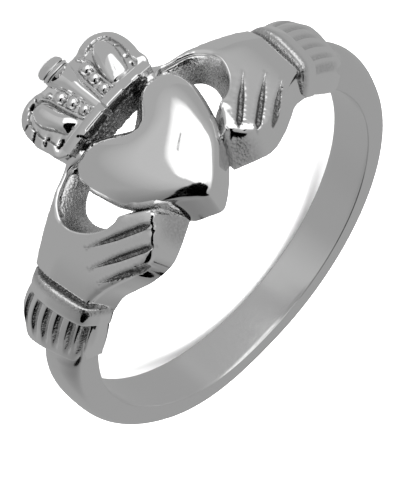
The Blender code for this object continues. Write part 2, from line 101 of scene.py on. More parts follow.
def outline(rows, spacing):
    """A smooth closed curve through rows of (s, c, foot s, foot c), at even steps and counter-clockwise."""
    count = len(rows)
    path = []
    for i in range(count):
        p0, p1, p2, p3 = (np.array(rows[(i + k) % count][:4]) for k in (-1, 0, 1, 2))
        chord = p2 - p1
        length = np.hypot(*chord[:2])
        leave, reach = (
            chord if CORNER in row[4:] else span * length / max(np.hypot(*span[:2]), TINY)
            for row, span in ((rows[i], p2 - p0), (rows[(i + 1) % count], p3 - p1))
        )
        steps = max(1, round(length / spacing))
        path += [curve(t, p1, leave, p2, reach) for t in np.arange(steps) / steps]
    path = np.array(path)
    after = np.roll(path, -1, axis=0)
    area = (path[:, 0] * after[:, 1] - path[:, 1] * after[:, 0]).sum()
    return path if area > 0 else path[::-1]


def smoothstep(low, high, x):
    """0 before low and 1 beyond high, with a smooth step between them; the other way round where low is larger."""
    t = np.clip((x - low) / (high - low), 0.0, 1.0)
    return t * t * (3.0 - 2.0 * t)


# %% [markdown]
# ## Filling an outline with points
# Polished metal shows every crease, so the outer faces need many small, even triangles. Each face is filled with
# rows of points that follow its edge, where it rounds over, and an even field of points inside. A Delaunay
# triangulation joins them. The distance of each point from the edge then says how far the face has rounded over.

# %% Distances and triangles
EDGE_ROWS = (0.03, 0.10, 0.20, 0.34, 0.50, 0.70, 1.00)     # rows of points, as shares of the edge's radius
ROW_KEEP = 0.96                     # a row's point stays if it is this much of its way off every part of the outline
FIELD_OFF, FIELD_APART = 0.55, 0.75 # the field's gap to the rows and to added points, as shares of the spacing
SKIN_STEPS, SKIN_DONE = 600, 1e-16  # when the stretched skin counts as settled
KEEP_INSIDE, MERGE = 1, 1e-5        # the triangulation keeps what is inside the outline, and merges twin points


def edge_distance(points, loop):
    """The distance of each plan point from a closed outline, below zero outside it."""
    nearest = np.full(len(points), 1e9)
    inside = np.zeros(len(points), bool)
    for start, end in zip(loop, np.roll(loop, -1, axis=0)):
        way = end - start
        offset = points - start
        t = np.clip(offset @ way / max(way @ way, 1e-12), 0.0, 1.0)
        nearest = np.minimum(nearest, np.hypot(*(offset - t[:, None] * way).T))
        crossing = (start[1] > points[:, 1]) != (end[1] > points[:, 1])
        if crossing.any():
            inside ^= crossing & (offset[:, 0] < way[0] * offset[:, 1] / (way[1] or 1e-12))
    return np.where(inside, nearest, -nearest)


def filled(loop, spacing, edge, extra):
    """Points and triangles inside an outline: the outline itself comes first, then the rows along its edge."""
    along = np.roll(loop, -1, axis=0) - np.roll(loop, 1, axis=0)
    inward = np.stack([-along[:, 1], along[:, 0]], axis=1) / np.hypot(*along.T)[:, None]
    rows = [loop]
    for share in EDGE_ROWS:
        row = loop + inward * edge * share
        rows.append(row[edge_distance(row, loop) > ROW_KEEP * edge * share])
    if len(extra):
        rows.append(extra[edge_distance(extra, loop) > edge])
    low, high = loop.min(axis=0), loop.max(axis=0)
    grid_s, grid_c = np.meshgrid(
        np.arange(low[0], high[0], spacing), np.arange(low[1], high[1], spacing * math.sqrt(3) / 2)
    )
    grid_s = grid_s + 0.5 * spacing * (np.arange(len(grid_s)) % 2)[:, None]
    field = np.stack([grid_s.ravel(), grid_c.ravel()], axis=1)
    field = field[edge_distance(field, loop) > edge + FIELD_OFF * spacing]
    if len(extra):
        gap = np.min(np.hypot(*(field[:, None] - extra[None]).transpose(2, 0, 1)), axis=1)
        field = field[gap > FIELD_APART * spacing]
    rows.append(field)
    points = np.concatenate(rows)
    border = [(i, (i + 1) % len(loop)) for i in range(len(loop))]
    points_out, _, faces, *_ = delaunay_2d_cdt([Vector(p) for p in points], border, [], KEEP_INSIDE, MERGE)
    return np.array([tuple(p) for p in points_out]), [tuple(face) for face in faces], len(loop)


def membrane(points, faces, rim):
    """How a stretched skin held at its rim would rise under an even pressure, with 1 at its highest place."""
    corners = np.array(faces)
    here, there, weight = [], [], []
    share = np.zeros(len(points))
    for k in range(3):
        i, j, far = corners[:, k], corners[:, (k + 1) % 3], corners[:, (k + 2) % 3]
        one, two = points[i] - points[far], points[j] - points[far]
        double_area = np.abs(one[:, 0] * two[:, 1] - one[:, 1] * two[:, 0]) + 1e-12
        cotangent = (one * two).sum(axis=1) / double_area
        here += [i, j]
        there += [j, i]
        weight += [0.5 * cotangent, 0.5 * cotangent]
        share += np.bincount(far, weights=double_area / 6.0, minlength=len(points))
    here, there, weight = np.concatenate(here), np.concatenate(there), np.concatenate(weight)
    free = np.arange(len(points)) >= rim

    def pull(u):
        return np.bincount(here, weights=weight * (u[here] - u[there]), minlength=len(u)) * free

    rise = np.zeros(len(points))
    left = share * free
    step = left.copy()
    for _ in range(SKIN_STEPS):
        pulled = pull(step)
        move = (left @ left) / (step @ pulled)
        rise += move * step
        new_left = left - move * pulled
        if new_left @ new_left < SKIN_DONE * (share @ share):
            break
        step = new_left + step * (new_left @ new_left) / (left @ left)
        left = new_left
    return rise / rise.max()


def relaxed(values, faces, fixed, rounds):
    """Evens out a height over its mesh, leaving the fixed points alone."""
    corners = np.array(faces)
    ends = np.concatenate([corners[:, [0, 1]], corners[:, [1, 2]], corners[:, [2, 0]]])
    ends = np.unique(np.sort(ends, axis=1), axis=0)
    here, there = np.concatenate([ends[:, 0], ends[:, 1]]), np.concatenate([ends[:, 1], ends[:, 0]])
    count = np.maximum(np.bincount(here, minlength=len(values)), 1)
    for _ in range(rounds):
        mean = np.bincount(here, weights=values[there], minlength=len(values)) / count
        values = np.where(fixed, values, 0.5 * values + 0.5 * mean)
    return values


# %% [markdown]
# ## Turning numbers into pieces
# Every piece ends the same way: a mesh from points and faces, smooth shading with sharp creases kept, the material,
# and a ride on the ring's one body. Two numbers are stored on each point. `recess` says how deep in a hollow it
# lies, where polish never reaches and the silver stays dark. `cast` says how rough the skin of the casting is.

# %% One piece from points and faces
CREASE = math.radians(50.0)         # edges that turn more than this stay sharp
SIDES = ((1, "right"), (-1, "left"))
pieces = []


def placed(name, data):
    """A new object in the scene."""
    made = bpy.data.objects.new(name, data)
    bpy.context.scene.collection.objects.link(made)
    return made


def store(mesh, label, values):
    """Keeps a number on each point of a mesh, for its material to read."""
    layer = mesh.attributes.new(label, "FLOAT", "POINT")
    layer.data.foreach_set("value", np.broadcast_to(values, len(mesh.vertices)).astype(np.float32))


def piece(name, points, faces, recess=0.0, cast=0.0, material=None):
    """One piece of the ring, drawn upright and laid down with the rest. It is polished silver unless told."""
    mesh = bpy.data.meshes.new(name)
    mesh.from_pydata([tuple(p) for p in points], [], faces)
    mesh.validate()
    store(mesh, "recess", recess)
    store(mesh, "cast", cast)
    mesh.transform(LAID_DOWN)
    mesh.shade_smooth()
    mesh.set_sharp_from_angle(angle=CREASE)
    mesh.materials.append(material or SILVER)
    made = placed(name, mesh)
    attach(made, "root")
    pieces.append(made)
    print(name, len(mesh.vertices), "points")
    return made


def swept(name, rings, recess=0.0, cast=0.0, material=None):
    """A piece through closed rings of points, all with the same number of points."""
    rings = np.asarray(rings)
    count, around = rings.shape[:2]
    faces = []
    for i in range(count - 1):
        for j in range(around):
            k = (j + 1) % around
            faces.append((i * around + j, i * around + k, (i + 1) * around + k, (i + 1) * around + j))
    faces.append(tuple(range(around))[::-1])
    faces.append(tuple((count - 1) * around + j for j in range(around)))
    recess, cast = (np.broadcast_to(values, (count, around)).ravel() for values in (recess, cast))
    return piece(name, rings.reshape(-1, 3), faces, recess, cast, material)


# %% [markdown]
# ## The silver
# The ring is one metal with three skins. The outer faces are polished and mirror the studio, with hair-fine
# scratches. The hollows keep the grainy skin of the casting and a dark tarnish. Between them the tarnish thins
# out. One node group makes the grain and one the tarnish, so every material shares the same two effects and sets
# its own amounts. They read the `recess` and `cast` numbers that the pieces carry.

# %% Node helpers
FLOAT, COLOR = "NodeSocketFloat", "NodeSocketColor"


def feed(tree, made, inputs):
    """Sets a node's inputs, by name or number, to plain values or to the outputs of other nodes."""
    for key, value in inputs.items():
        if isinstance(value, bpy.types.NodeSocket):
            tree.links.new(value, made.inputs[key])
        else:
            made.inputs[key].default_value = value


def node(tree, kind, inputs=None, **settings):
    """A new node with its settings and its inputs."""
    made = tree.nodes.new(kind)
    for key, value in settings.items():
        setattr(made, key, value)
    feed(tree, made, inputs or {})
    return made


def combine(tree, operation, a, b, **settings):
    """The output of a Math node."""
    return node(tree, "ShaderNodeMath", {0: a, 1: b}, operation=operation, **settings).outputs[0]


def remap(tree, value, start, full, low=0.0, high=1.0):
    """The output of a Map Range node: low where value is at start, high where it is at full, and never beyond."""
    limits = {"From Min": start, "From Max": full, "To Min": low, "To Max": high}
    return node(tree, "ShaderNodeMapRange", {"Value": value, **limits}).outputs["Result"]


def group(name, inputs, outputs):
    """An empty shader node group with named inputs and outputs."""
    tree = bpy.data.node_groups.new(name, "ShaderNodeTree")
    for label, kind, value in inputs:
        socket = tree.interface.new_socket(label, in_out="INPUT", socket_type=kind)
        socket.default_value = value
    for label, kind in outputs:
        tree.interface.new_socket(label, in_out="OUTPUT", socket_type=kind)
    return tree, tree.nodes.new("NodeGroupInput").outputs, tree.nodes.new("NodeGroupOutput")


def new_material(name):
    material = bpy.data.materials.new(name)
    material.use_nodes = True
    return material, material.node_tree


# %% The grain of the casting
def make_cast_grain():
    """Size is the grain's fineness, in grains per metre, and Amount its strength at each place."""
    tree, given, result = group(
        "cast_grain", [("Amount", FLOAT, 1.0), ("Size", FLOAT, 9000.0)], [("Height", FLOAT), ("Mask", FLOAT)]
    )
    place = {"Vector": node(tree, "ShaderNodeTexCoord").outputs["Object"], "Scale": given["Size"]}
    coarse = node(tree, "ShaderNodeTexNoise", {**place, "Detail": 5.0, "Roughness": 0.62}).outputs["Fac"]
    pits = node(tree, "ShaderNodeTexVoronoi", place).outputs["Distance"]
    height = combine(tree, "MULTIPLY", combine(tree, "MULTIPLY", coarse, pits), given["Amount"])
    feed(tree, result, {"Height": height, "Mask": coarse})
    return tree


# %% The hair-fine scratches
def make_polish_marks():
    """A noise stretched into lines, as height and as a little more roughness."""
    tree, given, result = group("polish_marks", [("Size", FLOAT, 2500.0)], [("Height", FLOAT), ("Rough", FLOAT)])
    place = node(tree, "ShaderNodeTexCoord").outputs["Object"]
    stretch = {"Vector": place, "Scale": (1.0, 6.0, 1.0), "Rotation": (0.4, 0.2, 0.9)}
    along = node(tree, "ShaderNodeMapping", stretch).outputs["Vector"]
    lines = node(tree, "ShaderNodeTexNoise", {"Vector": along, "Scale": given["Size"], "Detail": 3.0}).outputs["Fac"]
    feed(tree, result, {"Height": lines, "Rough": remap(tree, lines, 0.35, 0.75, 0.0, 0.06)})
    return tree


# %% The tarnish that stays in the hollows
BLACKENED = (0.012, 0.012, 0.012, 1.0)      # where recess goes beyond 1, as in the deepest cuts


def make_tarnish():
    """Mixes bright and dark silver by Recess, and Mask breaks up the edge between them."""
    tree, given, result = group(
        "tarnish",
        [
            ("Recess", FLOAT, 0.0),
            ("Mask", FLOAT, 0.5),
            ("Bright", COLOR, (0.9, 0.9, 0.9, 1.0)),
            ("Dark", COLOR, (0.1, 0.1, 0.1, 1.0)),
            ("Bright Roughness", FLOAT, 0.1),
            ("Dark Roughness", FLOAT, 0.5),
        ],
        [("Color", COLOR), ("Roughness", FLOAT)],
    )
    spread = remap(tree, given["Mask"], 0.30, 0.70, 0.45, 1.15)
    amount = combine(tree, "MULTIPLY", given["Recess"], spread, use_clamp=True)
    tones = {"Factor": amount, "A": given["Bright"], "B": given["Dark"]}
    colour = node(tree, "ShaderNodeMix", tones, data_type="RGBA").outputs["Result"]
    deepest = {"Factor": remap(tree, given["Recess"], 1.0, 2.0), "A": colour, "B": BLACKENED}
    skins = {"Factor": amount, "A": given["Bright Roughness"], "B": given["Dark Roughness"]}
    feed(tree, result, {
        "Color": node(tree, "ShaderNodeMix", deepest, data_type="RGBA").outputs["Result"],
        "Roughness": node(tree, "ShaderNodeMix", skins, data_type="FLOAT").outputs["Result"],
    })
    return tree


GRAIN, MARKS, TARNISH = make_cast_grain(), make_polish_marks(), make_tarnish()
print("node groups:", [tree.name for tree in (GRAIN, MARKS, TARNISH)])


# %% One silver, two finishes
def silver(name, bright, dark, bright_roughness, dark_roughness, marks_height, grain_height):
    """A silver whose polish gives way to dark, grainy casting skin where a piece's `recess` says so."""
    material, tree = new_material(name)
    cast = node(tree, "ShaderNodeAttribute", attribute_name="cast").outputs["Fac"]
    grain = node(tree, "ShaderNodeGroup", node_tree=GRAIN)
    marks = node(tree, "ShaderNodeGroup", node_tree=MARKS)
    tarnish = node(tree, "ShaderNodeGroup", node_tree=TARNISH)
    feed(tree, grain, {"Amount": cast})
    feed(tree, tarnish, {
        "Recess": node(tree, "ShaderNodeAttribute", attribute_name="recess").outputs["Fac"],
        "Mask": grain.outputs["Mask"],
        "Bright": bright, "Dark": dark, "Bright Roughness": bright_roughness, "Dark Roughness": dark_roughness,
    })
    scratched = {"Height": marks.outputs["Height"], "Distance": marks_height, "Strength": 1.0}
    fine = node(tree, "ShaderNodeBump", scratched).outputs["Normal"]
    grainy = {"Height": grain.outputs["Height"], "Distance": grain_height, "Strength": 1.0, "Normal": fine}
    feed(tree, tree.nodes["Principled BSDF"], {
        "Metallic": 1.0,
        "Base Color": tarnish.outputs["Color"],
        "Roughness": combine(tree, "ADD", tarnish.outputs["Roughness"], marks.outputs["Rough"]),
        "Normal": node(tree, "ShaderNodeBump", grainy).outputs["Normal"],
    })
    return material


# Bright and dark tone, their roughness, and how deep the scratches and the grain are, in metres.
DARK = (0.13, 0.13, 0.13, 1.0)
SILVER = silver("polished_silver", (0.90, 0.90, 0.90, 1.0), DARK, 0.045, 0.42, 0.2e-6, 60e-6)
SATIN = silver("satin_silver", (0.84, 0.84, 0.84, 1.0), DARK, 0.15, 0.45, 0.25e-6, 60e-6)
print("finishes:", SILVER.name, "and", SATIN.name)

# %% [markdown]
# ## The band
# The band is a D in section: flat at the sides and inside, rounded outside. It could be a curve with a bevel, but
# its width and thickness change along the way, so it is swept through sections that are worked out one by one.
# It widens a little below one hand and thickens towards the cuffs. Its inside was only sanded, so it is satin.

# %% The band's sections
BAND_THICK = 1.36                   # from the hole to the band's crest, at the back
BAND_SIDE = 0.86                    # height of the flat side before the outer face rounds over
BAND_END = 124.0                    # degrees from the back at which the band ends, inside the cuffs
BAND_ROUND = 0.07                   # radius of the worn edges beside the finger hole
BAND_CREST = 0.9                    # a power below 1 makes the outer face a little fuller than round
FLANK_POINTS = (0.3, 0.6)           # heights of the points that keep the flat sides evenly meshed
BAND_SECTIONS = 249
# Half width towards the heart's point. Columns: degrees from the back, half width.
BAND_TIP_HALF = ((-75, 1.13), (-40, 1.30), (-5, 1.13))
# Extra thickness. Columns: degrees from the back, extra.
BAND_MORE = ((88, 0.0), (110, 0.24), (115, 0.20), (119, -0.10))
BAND_MORE_RIGHT = ((-10, 0.0), (60, 0.05), (95, 0.12), (112, 0.08), (119, 0.0))     # on the right hand's side only


def read_table(rows, x):
    """Reads a table of (x, value) rows with a smooth step between neighbours."""
    value = np.full(np.shape(x), float(rows[0][1]))
    for (x0, v0), (x1, v1) in zip(rows, rows[1:]):
        value = np.where(np.asarray(x) > x0, v0 + (v1 - v0) * smoothstep(x0, x1, x), value)
    return value


def band_section(degrees):
    """The D of the band at an angle from the back, as points round it."""
    tip_half = float(read_table(BAND_TIP_HALF, degrees))
    crest = HOLE_R + BAND_THICK + float(read_table(BAND_MORE, abs(degrees)) + read_table(BAND_MORE_RIGHT, degrees))
    side = HOLE_R + BAND_SIDE
    inner = [
        (BAND_ROUND * (1 - math.sin(turn)), HOLE_R + BAND_ROUND * (1 - math.cos(turn)))
        for turn in (math.pi / 2 * k / 4 for k in range(5))
    ]
    profile = [(-tip_half + inset, r) for inset, r in inner]
    profile += [(-tip_half, HOLE_R + up) for up in FLANK_POINTS]
    for k in range(33):
        turn = math.pi * k / 32
        half = tip_half if k < 16 else BAND_HALF
        profile.append((-half * math.cos(turn), side + (crest - side) * math.sin(turn) ** BAND_CREST))
    profile += [(BAND_HALF, HOLE_R + up) for up in FLANK_POINTS[::-1]]
    profile += [(BAND_HALF - inset, r) for inset, r in inner[::-1]]
    profile += [(c, HOLE_R) for c in np.linspace(BAND_HALF - BAND_ROUND, -tip_half + BAND_ROUND, 12)[1:-1]]
    angle = math.radians(degrees)
    return [((r * math.sin(angle)) * MM, c * MM, (-r * math.cos(angle)) * MM) for c, r in profile]


band = swept("band", [band_section(a) for a in np.linspace(-BAND_END, BAND_END, BAND_SECTIONS)], material=SATIN)
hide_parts(NODE)

# %% [markdown]
# ## Raised pieces with a wall
# The heart, the hands and the crown are walls that stand on the finger hole and end in a rounded outer face. One
# helper makes them all: it fills the outline, lifts each point to its height, lets the edge round over, and drops
# a wall to the foot. The walls lean out a little towards the foot, as they must to leave a casting mould.
# Walls in the deep gaps keep their casting skin: they are pushed in and out by a noise, and stay dark.

# %% The helper for raised pieces
WALL_ROWS = 9
ROUGH_SIZE = 0.16 * MM              # the size of the bumps on a rough wall; smaller ones are laid over them
ROUGH_SEED = 4                      # any fixed number: without one, the noise would differ from run to run
noise.seed_set(ROUGH_SEED)


def roughened(points, amount):
    """Moves points about by a smooth noise, in millimetres, the same way each time."""
    moved = []
    for point, share in zip(points, np.broadcast_to(amount, len(points))):
        place = Vector(point)
        push = noise.noise_vector(place / ROUGH_SIZE) + 0.5 * noise.noise_vector(place / (0.4 * ROUGH_SIZE))
        moved.append(np.array(point) + np.array(push) * share * MM)
    return np.array(moved)


def relief(
    name, rows, height, edge, spacing, floor, dark, rounds=0, carve=None, rough=0.0, extra=(), dome=None,
    skin=1.4, crisp=None,
):
    """A raised piece with its outer face at height(s, c), whose rim is rounded, or which swells up as a dome.

    Its wall falls to the radius floor. dark(s, c, share) is the wall's recess, where share grows from 0 at its
    top to 1 at its foot, and rough says how far the wall is pushed about where it is dark. carve(s, c) gives the
    depth of what is cut into the face and its recess. dome(s, c, swell) is the height of the swelling, where
    swell is the shape of a blown-up membrane. crisp(s, c) is the share of the edge that is rounded, rounds how
    often the face is evened out, and skin how strongly the hollows keep their casting skin.
    """
    path = outline(rows, spacing)
    points, faces, rim = filled(path[:, :2], spacing, edge, np.array(extra).reshape(-1, 2))
    depth = edge_distance(points, path[:, :2])
    depth[:rim] = 0.0
    radius = edge * (crisp(points[:, 0], points[:, 1]) if crisp else 1.0)
    short = np.clip(1.0 - depth / radius, 0.0, 1.0)
    drop = radius * (1.0 - np.sqrt(1.0 - short**2))
    level = height(points[:, 0], points[:, 1])
    if dome:
        level = level + dome(points[:, 0], points[:, 1], np.clip(membrane(points, faces, rim), 0.0, 1.0))
    else:
        level = relaxed(level - drop, faces, depth < 0.3 * edge, rounds)
    recess = np.zeros(len(points))
    if carve:
        cut, recess = carve(points[:, 0], points[:, 1])
        level = level - cut
    top = wrap(points[:, 0], points[:, 1], level)
    under = np.concatenate([path[:, 2:4], points[rim:]])
    layers, recesses = [top], [recess]
    for k in range(1, WALL_ROWS):
        share = k / WALL_ROWS
        place = path[:, :2] + (path[:, 2:4] - path[:, :2]) * share
        layers.append(wrap(place[:, 0], place[:, 1], level[:rim] + (floor - level[:rim]) * share))
        recesses.append(dark(place[:, 0], place[:, 1], share))
    if rough:
        for layer, amount in zip(layers[1:], recesses[1:]):
            layer[:] = roughened(layer, rough * amount)
    layers.append(wrap(under[:, 0], under[:, 1], np.full(len(under), floor)))
    recesses.append(np.concatenate([recesses[-1], np.zeros(len(under) - rim)]) * 0.5)
    solid = list(faces)
    starts = [0] + [len(top) + k * rim for k in range(WALL_ROWS)]
    for upper, lower in zip(starts, starts[1:]):
        solid += [(lower + i, lower + (i + 1) % rim, upper + (i + 1) % rim, upper + i) for i in range(rim)]
    solid += [tuple(starts[-1] + i for i in reversed(face)) for face in faces]
    recess = np.concatenate(recesses)
    return piece(name, np.concatenate(layers), solid, recess, np.clip(recess * skin, 0, 1))


# %% [markdown]
# ## The heart
# The heart is a puffed dome with a soft edge, the brightest and smoothest piece of the ring. A dome could be
# blown up with a cloth simulation, but its height is known here: high in the middle, lower towards the lobes and
# the point. Its swelling takes the shape of a stretched skin held at the outline under an even pressure.

# %% The heart's outline and dome
# From the cleft round the right lobe, the point and the left lobe. Columns: s, c, foot s, foot c.
HEART = (
    (0.00, 1.42, 0.02, 2.12, CORNER),
    (0.58, 1.97, 0.62, 2.48),
    (1.22, 2.55, 1.20, 2.86),
    (1.64, 2.77, 1.64, 2.92),
    (2.16, 2.80, 2.16, 2.84),
    (2.64, 2.64, 2.60, 2.60),
    (3.00, 2.36, 2.92, 2.30),
    (3.26, 1.88, 3.15, 1.80),
    (3.31, 1.33, 3.18, 1.25),
    (3.12, 0.59, 3.00, 0.50),
    (2.86, -0.14, 2.72, -0.40),
    (2.50, -0.92, 2.45, -1.20),
    (2.02, -1.62, 2.10, -1.90),
    (1.42, -2.22, 1.42, -2.46),
    (0.75, -2.76, 0.72, -3.02),
    (0.15, -3.12, 0.08, -3.42),
    (-0.32, -3.24, -0.36, -3.54),
    (-0.84, -2.76, -0.98, -3.22),
    (-1.24, -2.32, -1.58, -2.82),
    (-1.86, -1.74, -2.12, -1.88),
    (-2.52, -1.06, -2.56, -1.14),
    (-2.98, -0.42, -2.86, -0.42),
    (-3.16, 0.12, -3.02, 0.10),
    (-3.28, 0.85, -3.12, 0.80),
    (-3.36, 1.47, -3.18, 1.40),
    (-3.28, 2.06, -3.14, 2.00),
    (-3.04, 2.49, -2.95, 2.42),
    (-2.69, 2.75, -2.62, 2.70),
    (-2.23, 2.84, -2.20, 2.88),
    (-1.71, 2.77, -1.70, 2.92),
    (-1.31, 2.60, -1.28, 2.96),
    (-0.88, 2.26, -0.88, 2.80),
    (-0.45, 1.84, -0.44, 2.46),
)
HEART_EDGE = 0.60                   # where the rows of points along its edge end
HEART_RIM = (0.86, 0.32)            # height of its rim over the finger hole, and how much higher it is at the point
HEART_DOME = (1.20, 0.48)           # how far it swells above the rim, and the power that shapes the swelling
HEART_POINT = (0.2, 2.2)            # c below the middle from which, and at which, the heart is as at its point


def heart_height(s, c):
    return HOLE_R + HEART_RIM[0] + HEART_RIM[1] * smoothstep(*HEART_POINT, -c)


def heart_dome(s, c, swell):
    return (HEART_DOME[0] - HEART_RIM[1] * smoothstep(*HEART_POINT, -c)) * swell ** HEART_DOME[1]


def cleft_dark(s, c, share):
    """The heart's wall is dark in the cleft, where the crown's foot hangs over it."""
    return 0.9 * smoothstep(1.0, 1.5, c) * smoothstep(2.6, 1.6, np.abs(s))


relief("heart", HEART, heart_height, HEART_EDGE, 0.10, HOLE_R, cleft_dark, rough=0.02, dome=heart_dome)

# %% [markdown]
# ## The hands
# Each hand is one flat-backed shape whose thumb and fingers go round a pierced gap. The back is smooth, with one
# faint facet where it turns down to the wrist. Three grooves part the fingers. They were pressed into the wax with
# a rough tool, so they keep a grainy, dark floor, and they run right over the fingers' ends.

# %% The hand's outline and back
# The thumb runs along the top, the fingers along the bottom, and the last rows go round the gap between them.
HAND = (
    (2.10, 2.90, 2.10, 2.90),
    (2.56, 3.48, 2.56, 3.52),
    (3.10, 3.45, 3.10, 3.52),
    (3.70, 3.20, 3.70, 3.26),
    (4.40, 2.95, 4.40, 2.95),
    (5.20, 2.74, 5.20, 2.70),
    (6.10, 2.55, 6.10, 2.45),
    (7.00, 2.36, 7.00, 2.20),
    (8.60, 2.18, 8.60, 2.00, CORNER),
    (8.60, -0.92, 8.60, -1.42, CORNER),
    (7.50, -1.02, 7.60, -1.60),
    (6.60, -1.38, 6.80, -1.80),
    (5.80, -1.86, 6.00, -2.27),
    (5.00, -2.36, 5.10, -2.78),
    (3.95, -2.70, 3.95, -3.14),
    (2.90, -2.42, 2.90, -3.03),
    (2.24, -1.98, 1.57, -2.63, CORNER),
    (2.28, -1.66, 1.60, -1.40, CORNER),
    (2.88, -1.00, 2.40, -0.75),
    (3.30, -0.62, 3.06, -0.26),
    (3.65, -0.55, 3.50, -0.20),
    (4.15, -0.28, 3.95, -0.05),
    (4.68, 0.28, 4.48, 0.36),
    (5.03, 1.05, 4.77, 1.04),
    (5.01, 1.80, 4.62, 1.64),
    (4.66, 2.40, 4.10, 1.98),
    (4.02, 2.80, 3.50, 2.15),
    (3.24, 3.04, 2.90, 2.30),
    (2.35, 2.75, 2.30, 2.20),
)
HAND_CLOSER = 0.28                  # how much closer the right palm lies to the heart
HAND_EDGE = 0.24
GAP_CENTRE = (3.9, 1.1)             # the middle of the pierced gap
FINGER_FALL, FINGER_END = 0.11, 5.5 # how fast the fingers bend up towards the heart, and where that starts


def hand_place(side, s):
    """Where a place on the hand lies round the finger: side is 1 for the right hand and -1 for the left."""
    closer = HAND_CLOSER * smoothstep(2.2, 3.6, s) * (1.0 - smoothstep(4.8, 6.8, s)) if side > 0 else 0.0
    return side * (s - closer)


def ramp(x):
    """x where it is positive and 0 elsewhere, with a soft bend."""
    return 0.5 * (x + np.sqrt(x * x + 0.09))


def hand_height(s, c):
    """The back falls to both sides, the thumb lies lower, the fingertips bend up, and a facet leads to the wrist."""
    s = np.abs(s)
    back = HOLE_R + 1.58 - 0.14 * np.maximum(1.3 - c, 0.0) - 0.17 * np.maximum(c - 1.2, 0.0) ** 2
    wrist = smoothstep(3.0, 5.6, s)                         # 1 where thumb and fingers have joined
    knuckles = smoothstep(2.3, 0.9, c)                      # 1 on the fingers, 0 on the thumb
    thumb = HOLE_R + 0.50 + 1.10 * wrist
    crest = 1.6 + 1.3 * smoothstep(-1.2, -2.4, c)           # where the fingers stop rising towards the heart
    tips = 0.5 * FINGER_FALL * ramp(FINGER_END - s - ramp(crest - s)) ** 2
    facet = np.hypot((s - 3.6) / 3.2, (c - 0.1) / 3.0)      # beyond 1 the back turns down
    back = np.minimum(back, thumb + (back - thumb) * np.maximum(wrist, knuckles)) + tips
    return back - 0.22 * np.maximum(facet - 1.0, 0.0)


def from_gap(s, c):
    """How far a place is from the middle of the pierced gap."""
    return np.hypot((np.abs(s) - GAP_CENTRE[0]) * 0.95, c - GAP_CENTRE[1])


def hand_dark(s, c, share):
    """The wall round the pierced gap keeps its casting skin, and so do the fingertips' walls beside the heart."""
    gap = 0.6 * (1.0 - smoothstep(1.7, 2.1, from_gap(s, c)))
    tips = 0.4 * smoothstep(-1.4, -2.0, c) * (1.0 - smoothstep(2.4, 3.4, np.abs(s)))
    slit = 0.5 * smoothstep(-0.3, -0.6, c) * smoothstep(-1.8, -1.5, c) * (1.0 - smoothstep(3.2, 3.5, np.abs(s)))
    return np.clip(gap + tips + slit, 0.0, 1.0) * min(1.0, 0.3 + 2.0 * share)


def hand_crisp(s, c):
    """The rim of the gap is crisp below the thumb, where the fingers begin."""
    return 1.0 - 0.7 * (1.0 - smoothstep(2.0, 2.3, from_gap(s, c))) * (1.0 - smoothstep(1.4, 1.9, c))


# %% The grooves between the fingers
# Columns: start s and c, end s and c.
FINGER_GROOVES = (
    (5.25, 0.02, 2.45, -2.28),
    (5.95, -0.50, 3.15, -2.80),
    (6.25, -1.15, 3.95, -3.05),
)
GROOVE_HALF = 0.17
GROOVE_DEPTH = 0.24
GROOVE_OPEN, GROOVE_POWER = 2.4, 0.7    # how fast a groove opens from its start, and the shape of its opening
GROOVE_FADE = (0.78, 0.94, 0.85)    # from where to where along it a groove grows shallower, and by what share
GROOVE_POINTS = (-1.1, -0.9, -0.65, -0.35, 0.0, 0.35, 0.65, 0.9, 1.1)      # points across it, in half widths
WRIST_GROOVE = (7.66, 0.17, 0.20)   # place, half width and depth of the channel beside the collar


def groove_places(side):
    """The ends of the grooves on one hand, in the plan."""
    return [
        (np.array([hand_place(side, s0), c0]), np.array([hand_place(side, s1), c1]))
        for s0, c0, s1, c1 in FINGER_GROOVES
    ]


def carve_hand(side):
    """What is cut into one hand: the grooves between the fingers and the channel at the wrist."""
    def carve(s, c):
        points = np.stack([s, c], axis=1)
        depth = np.zeros(len(s))
        for start, end in groove_places(side):
            way = end - start
            t = np.clip((points - start) @ way / (way @ way), 0.0, 1.0)
            away = np.hypot(*(points - start - t[:, None] * way).T)
            fade = 1.0 - GROOVE_FADE[2] * smoothstep(*GROOVE_FADE[:2], t)
            full = np.minimum(t * GROOVE_OPEN, 1.0) ** GROOVE_POWER * fade
            half = GROOVE_HALF * full + 1e-6
            depth = np.maximum(depth, GROOVE_DEPTH * full * (1.0 - smoothstep(0.35 * half, half, away)))
        place, half, deep = WRIST_GROOVE
        depth = np.maximum(depth, deep * (1.0 - smoothstep(0.4 * half, half, np.abs(np.abs(s) - place))))
        return depth, np.clip(depth / GROOVE_DEPTH * 1.6, 0.0, 1.0)

    return carve


def groove_points(side):
    """Closely spaced points along the grooves, so that their edges are crisp."""
    extra = []
    for start, end in groove_places(side):
        way = end - start
        length = np.hypot(*way)
        across = np.array([-way[1], way[0]]) / length
        for t in np.arange(-0.02, 1.03, 0.055 / length):
            full = min(max(t, 0.05) * GROOVE_OPEN, 1.0) ** GROOVE_POWER
            extra += [start + way * t + across * k * GROOVE_HALF * full for k in GROOVE_POINTS]
    return extra


for side, label in SIDES:
    rows = [(float(hand_place(side, row[0])), row[1], float(hand_place(side, row[2])), *row[3:]) for row in HAND]
    relief(
        "hand_" + label, rows, hand_height, HAND_EDGE, 0.10, HOLE_R + 0.002, hand_dark, rounds=14,
        carve=carve_hand(side), rough=0.03, extra=groove_points(side), skin=0.9, crisp=hand_crisp,
    )

# %% [markdown]
# ## The collars and the ruffled cuffs
# A smooth, rounded collar closes each sleeve, and behind it the cloth of the cuff stands in folds. Both follow the
# arm's section, flat towards the heart's point and round towards the crown, so both are swept through sections
# along the arm. The folds are channels in the cuff that start at the collar and run out before the cuff's end.

